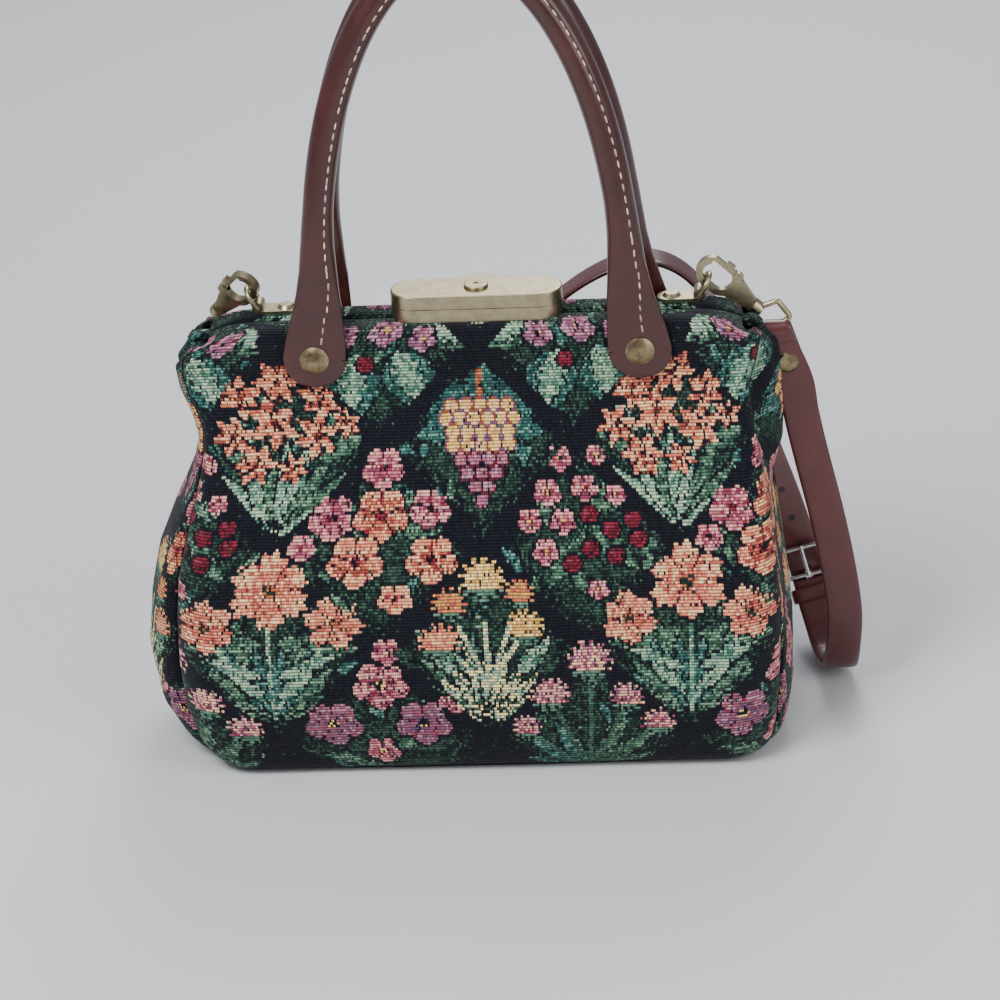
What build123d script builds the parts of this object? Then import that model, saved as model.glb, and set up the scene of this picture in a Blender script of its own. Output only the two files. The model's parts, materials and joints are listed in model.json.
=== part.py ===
from build123d import *
import os
from math import cos, radians, sin

os.makedirs("parts", exist_ok=True)

# A small carpet bag on a hinged steel frame. Millimetres, +Z up, +Y to the back.
# The origin is the middle of the flat base that the bag stands on.

# ---- Cloth body ----
cloth = 1.8              # tapestry cloth, with its stiffening
lining_cloth = 0.8
gap = 0.3                # between soft parts and what they lie against
base_width = 240
base_depth = 100
belly_width = 272        # widest, where the gussets swell
belly_depth = 116
belly_height = 50
mouth_width = 232        # the body where it meets the hinged top
mouth_depth = 60
mouth_height = 120
base_corner = 22
belly_corner = 30
mouth_corner = 24
seam_x = 110             # where front and rear panels meet the gussets
board_thickness = 2.5

# ---- Hinged frame ----
frame_top = 188          # top of the cloth over the rails
frame_half = 108         # half width over the cloth on the legs
shoulder_radius = 16
hinge_height = 130
rail_strip = 2.5         # thickness of the steel strip
rail_depth = 10          # width of the strip, front to back
rail_inset = 3           # from the bag's middle plane to a rail
flange_height = 20       # upright flange that the handles are riveted to
flange_strip = 2
flange_half = 88
leg_layer_gap = 0.4
leg_clear = 0.2          # from a leg to the cloth beside it
eye_radius = 5.5
hinge_pin_radius = 2
hinge_pin_fit = 0.05
channel_depth = 15.1     # from the middle plane to the cloth's outer face
channel_seam = 162       # height of the seam under the rail
panel_foot = 130         # lower edge of the panel above the fold
panel_foot_depth = 27
leg_cloth_foot = 136
fold_trim_x = 98         # beyond this the cloth's foot is cut away, so that the jaw can open
fold_trim_top = 150

# ---- Handles ----
handle_half = 63         # middle of the arch tube from the bag's middle
handle_rise = 140        # height of the half ellipse
handle_spring = 208      # height where the arch starts to curve
tube_radius = 6
tube_bore = 3.7
core_radius = 3.5
handle_lean = 3.5        # degrees, towards each other
fold_height = 198.4
fold_depth = 17
tang_width = 14
tang_thickness = 2.8
tube_foot = 206.5
foot_radius = 13
foot_neck = 17
foot_thickness = 3
rivet_x = 67
rivet_height = 177
rivet_shank = 1.6
rivet_fit = 0.1
rivet_head = 6
washer_radius = 4.5
washer_thickness = 0.8

# ---- Lock on top of the frame ----
lock_length = 71
lock_depth = 19.5
lock_split = 194.4       # height of the groove between the two shells
lock_top = 200
lock_wall = 1.2
lock_roof = 1.4
button_radius = 5
button_fit = 0.1
button_rise = 1.5
button_flange = 6.2
tongue_thickness = 1.5
tongue_half = 6
lock_travel = 1.3        # how far the button and latch go down
thumb_radius = 11.5
thumb_y = 15.4
strike_reach = 4.6
screw_radius = 1.1
screw_head = 1.7
screw_head_rise = 0.9
screw_thread = 0.15      # how much thinner the thread is
screw_y = 11.6
strike_screw_x = 5
lock_screw_x = 26
lock_screw_y = 6

# ---- Lugs, rings and snap hooks ----
lug_length = 13
lug_width = 9
lug_y = 8.25
lug_thickness = 1.5
barrel_x = 91.5
barrel_radius = 2.5
ring_wire = 1.1
ring_fit = 0.1
ring_half = 5.05
ring_reach = 9
ring_lift = 60           # degrees above level
hook_lift = 65           # the ring angle from which the hooks hang
hook_loop_length = 19
hook_loop_width = 14
hook_wire = 2.8
hook_thickness = 3.4
hook_neck_end = 28.5
post_radius = 1.5
post_fit = 0.05
eye_outer = 3.3
eye_length = 3.4
loop_wire = 1.2
loop_half = 8.9
loop_drop = 12.5
gate_thickness = 2
gate_width = 2.2
pin_radius = 0.8
pin_fit = 0.04

# ---- Shoulder strap ----
strap_width = 15
strap_thickness = 2.4
strap_rivet_radius = 4.8
strap_rivet_drop = 13
strap_start_drop = 2.6   # from the loop's bar to the strap's first point
notch_half = 1.9         # half the notch in the strap's end that the prong's ring sits in
notch_depth = 1.6
layer_gap = 6.2          # between the two straps inside the keeper
prong_fit = 0.05
prong_past = 1.6         # how far the prong reaches past the buckle
rivet_rise = 2.2         # height of a handle rivet's dome
strap_fold = 24          # length turned back behind the strap at its riveted end
buckle_wire = 1.1
buckle_height = 13
prong_wire = 0.8
keeper_width = 6
keeper_wall = 1.4
strap_hole_radius = 1.5

front, rear = -1, 1
left, right = -1, 1


def save(name, shape):
    export_step(shape, f"parts/{name}.step")


def block(x0, x1, y0, y1, z0, z1):
    """A box from its lowest and highest corners."""
    corner = Location((x0, y0, z0))
    return corner * Box(x1 - x0, y1 - y0, z1 - z0, align=(Align.MIN, Align.MIN, Align.MIN))


def rod(start, end, radius):
    """A round bar between two points."""
    axis = Vector(*end) - Vector(*start)
    return Plane(origin=start, z_dir=axis) * extrude(Circle(radius), axis.length)


def on_side(shape, side):
    """The front shape as it is, or its mirror image for the back."""
    return shape if side == front else mirror(shape, Plane.XZ)


# ---- Body panels ----
def body_section(height, width, depth, corner):
    return Plane.XY.offset(height) * RectangleRounded(width, depth, corner)


def body_form(inset, foot):
    """The filled outer form of the cloth body, drawn in by an inset."""
    return loft(
        [
            body_section(foot, base_width - 2 * inset, base_depth - 2 * inset, base_corner - inset),
            body_section(
                belly_height, belly_width - 2 * inset, belly_depth - 2 * inset, belly_corner - inset
            ),
            body_section(
                mouth_height, mouth_width - 2 * inset, mouth_depth - 2 * inset, mouth_corner - inset
            ),
        ]
    )


def wall_pieces(outer_inset, inner_inset):
    """The upright wall between two insets, parted at the four seams."""
    wall = body_form(outer_inset, 0) - body_form(inner_inset, 0)
    far = belly_width
    band = block(-seam_x, seam_x, -far, far, -1, mouth_height + 1)
    pieces = {}
    pieces["front"] = wall & block(-seam_x, seam_x, -far, 0, -1, mouth_height + 1)
    pieces["rear"] = wall & block(-seam_x, seam_x, 0, far, -1, mouth_height + 1)
    sides = wall - band
    pieces["left"] = sides & block(-far, 0, -far, far, -1, mouth_height + 1)
    pieces["right"] = sides & block(0, far, -far, far, -1, mouth_height + 1)
    return pieces


rail_outer_rear = frame_half - cloth - leg_clear
rail_outer_front = rail_outer_rear - rail_strip - leg_layer_gap
rail_top = frame_top - cloth - gap
rail_near = rail_inset
rail_far = rail_inset + rail_depth


def channel(side):
    """The cloth over one rail, and the panel below it down to the fold."""
    near = gap + 0.1
    outline = Polyline(
        (-panel_foot_depth, panel_foot),
        (-channel_depth, channel_seam),
        (-channel_depth, frame_top),
        (-near, frame_top),
        (-near, frame_top - 6),
        (-9, channel_seam + 1),
        (-channel_depth + cloth, channel_seam - 2),
        (-panel_foot_depth + cloth, panel_foot),
        close=True,
    )
    body = Plane.YZ * make_face(outline)
    body = extrude(body, frame_half, both=True)
    for end in (left, right):
        inner = end * (frame_half - cloth)
        outer = end * frame_half
        low, high = min(inner, outer), max(inner, outer)
        body += block(low, high, -channel_depth, -near, leg_cloth_foot, frame_top)
    height = frame_top - panel_foot
    silhouette = Plane.XZ * (
        Location((0, frame_top - height)) * RectangleRounded(2 * frame_half, 2 * height, shoulder_radius)
    )
    body = body & extrude(silhouette, belly_depth, both=True)
    pocket = Polyline(
        (-rail_far - gap, rail_top - flange_height - 1),
        (-rail_far - gap, rail_top + gap),
        (-rail_near + gap, rail_top + gap),
        (-rail_near + gap, rail_top - rail_strip - gap),
        (-9.5, rail_top - flange_height - 1),
        close=True,
    )
    pocket = extrude(Plane.YZ * make_face(pocket), frame_half - cloth, both=True)
    rail_room = block(
        -frame_half + cloth, frame_half - cloth, -rail_far - gap, -rail_near + gap,
        leg_cloth_foot - 5, rail_top - rail_strip - flange_height,
    )
    inside = Plane.XZ * (
        Location((0, rail_top + gap - height))
        * RectangleRounded(2 * (frame_half - cloth), 2 * height, shoulder_radius - cloth)
    )
    inside = extrude(inside, belly_depth, both=True)
    room = pocket + rail_room + leg_room(left) + leg_room(right)
    body = body - (room & inside)
    for end in (left, right):
        body -= rivet_hole(end, front)
    if side == front:
        for x in (-lock_screw_x, lock_screw_x):
            low = (x, -lock_screw_y, rail_top - 4)
            body -= rod(low, (x, -lock_screw_y, frame_top + 2), screw_radius + rivet_fit)
        for end in (left, right):
            inner, outer = end * fold_trim_x, end * (frame_half + 1)
            body -= block(
                min(inner, outer), max(inner, outer), -panel_foot_depth - 1, -channel_depth,
                panel_foot - 1, fold_trim_top,
            )
    return on_side(body, side)


def leg_room(end):
    """Room for a rail leg inside the shoulder of the cloth."""
    inner = end * (rail_outer_front - shoulder_radius)
    outer = end * (frame_half - cloth)
    low, high = min(inner, outer), max(inner, outer)
    return block(low, high, -rail_far - gap, 0, leg_cloth_foot - 5, rail_top + gap)


def rivet_hole(end, side):
    far = 30
    x = end * rivet_x
    return rod((x, side * far, rivet_height), (x, 0, rivet_height), rivet_shank + rivet_fit)


walls = wall_pieces(0, cloth)
base_panel = extrude(
    Plane.XY * RectangleRounded(
        base_width - 2 * cloth - 2 * gap, base_depth - 2 * cloth - 2 * gap, base_corner - cloth
    ),
    cloth,
)
save("base_panel", base_panel)
save("front_panel", walls["front"])
save("left_gusset", walls["left"])
save("right_gusset", walls["right"])
save("front_panel_top", channel(front))
rear_top = channel(rear)
bridge = Polyline(
    (mouth_depth / 2, mouth_height),
    (panel_foot_depth, panel_foot),
    (panel_foot_depth - cloth, panel_foot),
    (mouth_depth / 2 - cloth, mouth_height),
    close=True,
)
flat_half = mouth_width / 2 - mouth_corner
bridge = extrude(Plane.YZ * make_face(bridge), flat_half, both=True)
rear_panel = walls["rear"] + bridge + rear_top
for x in (-strike_screw_x, strike_screw_x):
    rear_panel -= rod((x, screw_y, rail_top), (x, screw_y, frame_top + 1), screw_radius + rivet_fit)
for end in (left, right):
    x = end * (barrel_x - lug_length + 1.5)
    rear_panel -= rod((x, lug_y, rail_top), (x, lug_y, frame_top + 1), rivet_shank + rivet_fit)
save("rear_panel", rear_panel)

board_low = cloth + gap
base_board = Location((0, 0, board_low)) * extrude(
    RectangleRounded(
        base_width - 4 * cloth - 4 * gap, base_depth - 4 * cloth - 4 * gap, base_corner - 2 * cloth
    ),
    board_thickness,
)
save("base_board", base_board)

lining = wall_pieces(cloth + gap, cloth + gap + lining_cloth)
lining_foot = board_low + board_thickness + gap
above_board = block(-belly_width, belly_width, -belly_depth, belly_depth, lining_foot, mouth_height)
for name in ("front", "rear", "left", "right"):
    save(f"lining_{name}", lining[name] & above_board)
lining_inset = cloth + gap + lining_cloth + gap
lining_floor = Location((0, 0, lining_foot)) * extrude(
    RectangleRounded(
        base_width - 2 * lining_inset, base_depth - 2 * lining_inset, base_corner - lining_inset
    ),
    lining_cloth,
)
save("lining_floor", lining_floor)


# ---- Steel rails ----
def rail(side, outer):
    """One U of flat strip with an upright flange and a hinge eye on each leg."""
    drop = rail_top - hinge_height
    u_outer = Location((0, rail_top - drop)) * RectangleRounded(2 * outer, 2 * drop, shoulder_radius - cloth)
    inner = outer - rail_strip
    u_inner = Location((0, rail_top - rail_strip - drop)) * RectangleRounded(
        2 * inner, 2 * drop, shoulder_radius - cloth - rail_strip
    )
    strip = Plane.XZ * (u_outer - u_inner)
    strip = Location((0, -rail_near, 0)) * extrude(strip, rail_depth)
    leg_end = hinge_height + 14
    strip -= block(-outer - 1, outer + 1, -30, 30, 0, leg_end)
    flange = block(
        -flange_half, flange_half, -rail_far, -rail_far + flange_strip,
        rail_top - flange_height, rail_top - 1,
    )
    body = strip + flange
    for end in (left, right):
        plate = Polyline(
            (-rail_far, leg_end + 3),
            (-rail_near, leg_end + 3),
            (-rail_near, leg_end),
            (eye_radius * cos(radians(30)), hinge_height + eye_radius * sin(radians(30))),
            (-eye_radius * cos(radians(30)), hinge_height - eye_radius * sin(radians(30))),
            (-rail_far, leg_end),
            close=True,
        )
        start = outer - rail_strip if end == right else -outer
        plane = Plane.YZ.offset(start)
        body += extrude(plane * make_face(plate), rail_strip)
        body += extrude(plane * (Location((0, hinge_height)) * Circle(eye_radius)), rail_strip)
        body -= rod(
            (end * (outer - 10), 0, hinge_height), (end * (outer + 10), 0, hinge_height),
            hinge_pin_radius + hinge_pin_fit,
        )
        body -= rivet_hole(end, front)
    screw_spots = [(-lock_screw_x, -lock_screw_y), (lock_screw_x, -lock_screw_y)]
    if side == rear:
        screw_spots = [(-strike_screw_x, -screw_y), (strike_screw_x, -screw_y)]
    for x, y in screw_spots:
        body -= rod((x, y, rail_top - 4), (x, y, rail_top + 1), screw_radius - 0.1)
    return on_side(body, side)


save("front_rail", rail(front, rail_outer_front))
save("rear_rail", rail(rear, rail_outer_rear))

for end, name in ((left, "left"), (right, "right")):
    start = rail_outer_front - rail_strip - 0.2
    stop = rail_outer_rear + 0.2
    pin = rod((end * start, 0, hinge_height), (end * stop, 0, hinge_height), hinge_pin_radius)
    pin += rod((end * (start - 1.2), 0, hinge_height), (end * start, 0, hinge_height), 3.5)
    pin += rod((end * stop, 0, hinge_height), (end * (stop + 1), 0, hinge_height), 3.5)
    save(f"hinge_pin_{name}", pin)


# ---- Handles ----
def handle_path(depth):
    """Half an ellipse on two short legs, in an upright plane."""
    arch = EllipticalCenterArc((0, handle_spring), handle_half, handle_rise, arc_size=180)
    right_leg = Line((handle_half, tube_foot), (handle_half, handle_spring))
    left_leg = Line((-handle_half, handle_spring), (-handle_half, tube_foot))
    plane = Plane(origin=(0, -depth, 0), x_dir=(1, 0, 0), z_dir=(0, -1, 0))
    return plane * (right_leg + arch + left_leg)


def handle_tube(radius):
    path = handle_path(fold_depth)
    ring = Plane(origin=(handle_half, -fold_depth, tube_foot), z_dir=(0, 0, 1)) * Circle(radius)
    return sweep(ring, path=path)


fold_line = Axis((0, -fold_depth, fold_height), (1, 0, 0))
tube = handle_tube(tube_radius)
bore = handle_tube(tube_bore)
core = handle_tube(core_radius)
leather = tube - bore
for end in (left, right):
    middle = end * handle_half
    low = middle - tang_width / 2
    tang = block(
        low, low + tang_width, -fold_depth - tang_thickness / 2, -fold_depth + tang_thickness / 2,
        fold_height, tube_foot + 1.5,
    )
    knuckle = rod(
        (low, -fold_depth, fold_height), (low + tang_width, -fold_depth, fold_height),
        tang_thickness / 2,
    )
    leather += tang + knuckle - bore
leather = leather.rotate(fold_line, -handle_lean)
core = core.rotate(fold_line, -handle_lean)


def handle_foot(end):
    disc = Location((rivet_x, rivet_height)) * Circle(foot_radius)
    foot_top = fold_height - tang_thickness / 2 - gap
    neck = Location((handle_half, foot_top - 1)) * Rectangle(foot_neck, 2)
    outline = make_hull((disc + neck).edges())
    foot_back = channel_depth + gap
    foot = Plane.XZ * outline
    foot = Location((0, -foot_back, 0)) * extrude(foot, foot_thickness)
    foot -= rod((rivet_x, -30, rivet_height), (rivet_x, 0, rivet_height), rivet_shank + rivet_fit)
    return foot if end == right else mirror(foot, Plane.YZ)


def handle_rivet(end):
    face = -(channel_depth + gap + foot_thickness)
    x = end * rivet_x
    inner_end = -rail_far + flange_strip + washer_thickness + 0.6
    shank = rod((x, face, rivet_height), (x, inner_end, rivet_height), rivet_shank)
    round_of_dome = rivet_head * 1.9
    dome = Location((0, 0, rivet_rise - round_of_dome)) * Sphere(round_of_dome)
    dome &= Cylinder(rivet_head, 10, align=(Align.CENTER, Align.CENTER, Align.MIN))
    dome = Plane(origin=(x, face, rivet_height), z_dir=(0, -1, 0)) * dome
    tail = rod((x, inner_end, rivet_height), (x, inner_end + 0.8, rivet_height), rivet_shank + 0.9)
    return shank + dome + tail


def rivet_washer(end):
    x = end * rivet_x
    inner = -rail_far + flange_strip
    disc = rod((x, inner, rivet_height), (x, inner + washer_thickness, rivet_height), washer_radius)
    return disc - rod((x, inner - 1, rivet_height), (x, inner + 2, rivet_height), rivet_shank + rivet_fit)


for side, name in ((front, "front"), (rear, "rear")):
    save(f"{name}_handle", on_side(leather, side))
    save(f"{name}_handle_core", on_side(core, side))
    save(f"{name}_handle_foot_left", on_side(handle_foot(left), side))
    save(f"{name}_handle_foot_right", on_side(handle_foot(right), side))
    rivets = Compound(children=[on_side(handle_rivet(end), side) for end in (left, right)])
    save(f"{name}_handle_rivets", rivets)
    washers = Compound(children=[on_side(rivet_washer(end), side) for end in (left, right)])
    save(f"{name}_rivet_washers", washers)


# ---- Lock ----
case_foot = frame_top + gap + 0.1
tongue_high = lock_split - 0.1
tongue_low = tongue_high - tongue_thickness


def obround(length, depth, low, high):
    return Location((0, 0, low)) * extrude(SlotOverall(length, depth), high - low)


case = obround(lock_length, lock_depth, case_foot, lock_split)
case -= obround(lock_length - 2 * lock_wall, lock_depth - 2 * lock_wall, case_foot + lock_wall, lock_split)
case -= block(-tongue_half - 0.8, tongue_half + 0.8, 0, lock_depth, tongue_low - 1.3, lock_split + 1)
groove = obround(lock_length + 2, lock_depth + 2, lock_split - 0.5, lock_split)
groove -= obround(lock_length - 0.8, lock_depth - 0.8, lock_split - 0.5, lock_split)
case -= groove
for x in (-lock_screw_x, lock_screw_x):
    low = (x, -lock_screw_y, case_foot - 1)
    case -= rod(low, (x, -lock_screw_y, case_foot + 3), screw_radius + rivet_fit)
save("lock_case", case)

roof = lock_top - lock_roof
cover = obround(lock_length, lock_depth, lock_split, lock_top)
cover = fillet(cover.faces().sort_by(Axis.Z)[-1].edges(), 0.7)
cover -= obround(lock_length - 2 * lock_wall, lock_depth - 2 * lock_wall, lock_split, roof)
cover -= rod((0, 0, roof - 1), (0, 0, lock_top + 1), button_radius + button_fit)
save("lock_cover", cover)

button = rod((0, 0, roof - 0.8), (0, 0, lock_top + button_rise), button_radius)
button = fillet(button.faces().sort_by(Axis.Z)[-1].edges(), 0.5)
button += rod((0, 0, roof - 0.8), (0, 0, roof), button_flange)
button -= rod((0, 0, lock_top + button_rise - 0.5), (0, 0, lock_top + button_rise + 1), 1.2)
save("lock_button", button)

latch_top = roof - 0.8
latch = block(-3, 3, -5.5, 7.6, latch_top - 1, latch_top)
latch += block(-5, 5, 5.8, 7.2, tongue_high + lock_travel + 0.2, latch_top)
save("lock_latch", latch)

spring_low = case_foot + lock_wall
coil = Helix(pitch=1.9, height=latch_top - 1 - spring_low - 0.8, radius=2.4)
coil = Location((0, -1.2, spring_low + 0.4)) * coil
wire = Plane(origin=coil @ 0, z_dir=coil % 0) * Circle(0.35)
save("lock_spring", sweep(wire, path=coil, is_frenet=True))

strike = Location((0, thumb_y, tongue_low)) * Cylinder(
    thumb_radius, tongue_thickness, align=(Align.CENTER, Align.CENTER, Align.MIN)
)
strike += block(-tongue_half, tongue_half, strike_reach, thumb_y, tongue_low, tongue_high)
clear_case = lock_depth / 2 + 0.8
strike -= (
    block(tongue_half, 40, 0, clear_case, tongue_low - 1, tongue_high + 1)
    + block(-40, -tongue_half, 0, clear_case, tongue_low - 1, tongue_high + 1)
)
strike += block(-8, 8, clear_case, channel_depth, case_foot, tongue_low)
for x in (-strike_screw_x, strike_screw_x):
    strike -= rod((x, screw_y, case_foot - 1), (x, screw_y, tongue_high + 1), screw_radius + rivet_fit)
save("strike_plate", strike)


def screw(x, y, seat):
    """A screw whose thinner thread sits in the rail."""
    thread_end = rail_top + 0.1
    thread = rod((x, y, rail_top - rail_strip - 1), (x, y, thread_end), screw_radius - screw_thread)
    shank = rod((x, y, thread_end), (x, y, seat), screw_radius)
    return thread + shank + rod((x, y, seat), (x, y, seat + screw_head_rise), screw_head)


lock_spots = (-lock_screw_x, lock_screw_x)
lock_screws = [screw(x, -lock_screw_y, case_foot + lock_wall) for x in lock_spots]
save("lock_screws", Compound(children=lock_screws))
strike_screws = [screw(x, screw_y, tongue_high) for x in (-strike_screw_x, strike_screw_x)]
save("strike_screws", Compound(children=strike_screws))


# ---- Lugs and rings ----
barrel_z = frame_top + gap + barrel_radius + 0.1


def lug(end):
    inner = barrel_x - lug_length
    plate = block(
        inner, barrel_x, lug_y - lug_width / 2, lug_y + lug_width / 2,
        frame_top + gap, frame_top + gap + lug_thickness,
    )
    tip = Location((inner, lug_y, frame_top + gap)) * Cylinder(
        lug_width / 2, lug_thickness, align=(Align.CENTER, Align.CENTER, Align.MIN)
    )
    body = plate + tip
    half = ring_half - ring_wire - gap
    body += rod((barrel_x, lug_y - half, barrel_z), (barrel_x, lug_y + half, barrel_z), barrel_radius)
    body -= rod(
        (barrel_x, lug_y - 9, barrel_z), (barrel_x, lug_y + 9, barrel_z), ring_wire + ring_fit
    )
    hole_x = inner + 1.5
    body -= rod((hole_x, lug_y, frame_top - 1), (hole_x, lug_y, frame_top + 4), rivet_shank + rivet_fit)
    return body if end == right else mirror(body, Plane.YZ)


def lug_rivet(end):
    x = end * (barrel_x - lug_length + 1.5)
    seat = frame_top + gap + lug_thickness
    head = Location((x, lug_y, seat)) * Cone(3.9, 2.6, 1.4, align=(Align.CENTER, Align.CENTER, Align.MIN))
    return head + rod((x, lug_y, rail_top + 0.1), (x, lug_y, seat), rivet_shank)


def lug_ring(end):
    """A D-shaped ring whose straight side lies in the lug's barrel."""
    angle = radians(ring_lift)
    out = Vector(end * cos(angle), 0, sin(angle))
    origin = Vector(end * barrel_x, lug_y, barrel_z)
    plane = Plane(origin=origin, x_dir=out, z_dir=out.cross(Vector(0, 1, 0)))
    arm = ring_reach - ring_half
    wire_path = (
        Line((0, -ring_half), (arm, -ring_half))
        + ThreePointArc((arm, -ring_half), (ring_reach, 0), (arm, ring_half))
        + Line((arm, ring_half), (0, ring_half))
    )
    path = plane * wire_path
    section = Plane(origin=path @ 0, z_dir=path % 0) * Circle(ring_wire)
    bow = sweep(section, path=path)
    a = origin + Vector(0, -ring_half - ring_wire, 0)
    b = origin + Vector(0, ring_half + ring_wire, 0)
    return bow + rod(a, b, ring_wire)


# ---- Snap hooks ----
hook_aim = {right: Vector(0.72, 0, -0.69).normalized(), left: Vector(-0.55, 0.5, -0.67).normalized()}
loop_aim = {right: Vector(0.57, 0, -0.82).normalized(), left: Vector(-0.3, 0.35, -0.89).normalized()}
outward = {right: Vector(0.69, 0, 0.72), left: Vector(-0.69, 0, 0.72)}
loop_side = {right: Vector(0.82, 0, 0.57), left: Vector(0, 1, 0)}
ring_offset = 2.0
hook_rest = 6.0          # from the hook's outer top to the ring wire it hangs on


def square_to(vector, axis):
    """The part of a vector that is square to an axis."""
    return (vector - axis * vector.dot(axis)).normalized()


def hook_plane(end):
    """Origin at the hook's outer top, X down the hook, Y outward across it."""
    angle = radians(hook_lift)
    apex = Vector(end * (barrel_x + ring_reach * cos(angle)), lug_y, barrel_z + ring_reach * sin(angle))
    aim = hook_aim[end]
    across = square_to(outward[end], aim)
    origin = apex - aim * hook_rest + across * ring_offset
    return Plane(origin=origin, x_dir=aim, z_dir=aim.cross(across))


pivot_x = 16.6
pivot_y = hook_loop_width / 2 - hook_wire + gate_width / 2


def hook_body():
    middle = hook_loop_length / 2
    flat = Location((middle, 0)) * SlotOverall(hook_loop_length, hook_loop_width)
    flat -= Location((middle, 0)) * SlotOverall(
        hook_loop_length - 2 * hook_wire, hook_loop_width - 2 * hook_wire
    )
    neck = Polyline((16.2, -5), (hook_neck_end, -2.6), (hook_neck_end, 2.6), (16.2, 6), close=True)
    neck = make_face(neck)
    body = extrude(flat + neck, hook_thickness / 2, both=True)
    gate_gap = block(3.6, pivot_x + 2.6, pivot_y - 2.4, 12, -3, 3)
    cheeks = block(pivot_x - 2.4, 30, pivot_y - 2.4, 12, -3, 3)
    slot = block(3.6, pivot_x + 2.6, pivot_y - 2.6, 12, -gate_thickness / 2 - 0.2, gate_thickness / 2 + 0.2)
    body = body - (gate_gap - cheeks) - slot
    body -= rod((pivot_x, pivot_y, -4), (pivot_x, pivot_y, 4), pin_radius + pin_fit)
    body += rod((hook_neck_end - 1, 0, 0), (hook_neck_end + eye_length + 0.8, 0, 0), post_radius)
    head_start = hook_neck_end + eye_length + 0.5
    body += rod((head_start, 0, 0), (head_start + 1.2, 0, 0), post_radius + 0.9)
    return body


def hook_gate():
    bar = block(3.9, pivot_x, pivot_y - gate_width / 2, pivot_y + gate_width / 2,
                -gate_thickness / 2, gate_thickness / 2)
    bar += rod((pivot_x, pivot_y, -gate_thickness / 2), (pivot_x, pivot_y, gate_thickness / 2), 2)
    bar += block(9, 12.5, pivot_y, pivot_y + 2.6, -gate_thickness / 2, gate_thickness / 2)
    return bar - rod((pivot_x, pivot_y, -4), (pivot_x, pivot_y, 4), pin_radius + pin_fit)


def gate_pin():
    half = hook_thickness / 2
    return rod((pivot_x, pivot_y, -half), (pivot_x, pivot_y, half), pin_radius)


def swivel_centre(end):
    plane = hook_plane(end)
    middle = hook_neck_end + 0.25 + eye_length / 2
    return plane.origin + plane.x_dir * middle


def loop_plane(end):
    """Origin in the middle of the swivel eye, X down to the strap's bar."""
    aim = loop_aim[end]
    across = square_to(loop_side[end], aim)
    return Plane(origin=swivel_centre(end), x_dir=aim, z_dir=aim.cross(across))


def swivel_loop(end):
    plane = loop_plane(end)
    wire_path = FilletPolyline(
        (1.5, -2), (3.4, -loop_half), (loop_drop, -loop_half), (loop_drop, loop_half),
        (3.4, loop_half), (1.5, 2), radius=1.6,
    )
    path = plane * wire_path
    section = Plane(origin=path @ 0, z_dir=path % 0) * Circle(loop_wire)
    body = sweep(section, path=path)
    aim = hook_aim[end]
    centre = plane.origin
    a = centre - aim * (eye_length / 2)
    b = centre + aim * (eye_length / 2)
    body += rod(a, b, eye_outer)
    c = centre - aim * 8
    d = centre + aim * 8
    body -= rod(c, d, post_radius + post_fit)
    e = centre + aim * (eye_length / 2)
    f = centre + aim * (eye_length / 2 + 2.4)
    body -= rod(e, f, post_radius + 1.3)
    return body


for end, name in ((left, "left"), (right, "right")):
    save(f"{name}_lug", lug(end))
    save(f"{name}_lug_rivet", lug_rivet(end))
    save(f"{name}_ring", lug_ring(end))
    place = hook_plane(end).location
    save(f"{name}_hook", place * hook_body())
    save(f"{name}_hook_gate", place * hook_gate())
    save(f"{name}_gate_pin", place * gate_pin())
    save(f"{name}_swivel_loop", swivel_loop(end))


# ---- Shoulder strap ----
def ribbon(points, turns, thickness):
    """A flat strap through the points. Each turn sets its width from +X (0) to +Y (90)."""
    places = [Vector(*point) for point in points]
    sections = []
    for index, place in enumerate(places):
        before = places[max(index - 1, 0)]
        after = places[min(index + 1, len(places) - 1)]
        along = (after - before).normalized()
        turn = radians(turns[index])
        width = square_to(Vector(cos(turn), sin(turn), 0), along)
        plane = Plane(origin=place, x_dir=width, z_dir=along)
        sections.append(plane * Rectangle(strap_width, thickness))
    return loft(sections, ruled=True)


def strap_frame(points, index, turn=0):
    """A plane on the strap's middle: X across, Y through it, Z along."""
    before = Vector(*points[index - 1])
    after = Vector(*points[min(index + 1, len(points) - 1)])
    along = (after - before).normalized()
    width = square_to(Vector(cos(radians(turn)), sin(radians(turn)), 0), along)
    return Plane(origin=points[index], x_dir=width, z_dir=along)


def loop_bar(end):
    plane = loop_plane(end)
    return plane.origin + plane.x_dir * loop_drop, plane.y_dir, plane.x_dir


def strap_eye(end):
    """The turned end of a strap round its bar."""
    centre, across, _ = loop_bar(end)
    half = strap_width / 2
    a = centre - across * half
    b = centre + across * half
    eye = rod(a, b, loop_wire + gap + strap_thickness)
    return eye, rod((a - across), (b + across), loop_wire + gap)


bar_right, _, down_right = loop_bar(right)
start_right = bar_right + down_right * strap_start_drop
fall = [
    start_right,
    (130, 6.3, 150), (132, 5.2, 136), (135.5, 4, 118), (141, 3.5, 92), (145.5, 4, 66), (148, 6, 42),
    (147, 11, 22), (145.5, 19, 9.5), (143.5, 30, 5), (141, 42, 6.5), (138.5, 51.5, 12),
    (135.6, 58.6, 20.5), (133.6, 62, 29.5),
]


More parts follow.
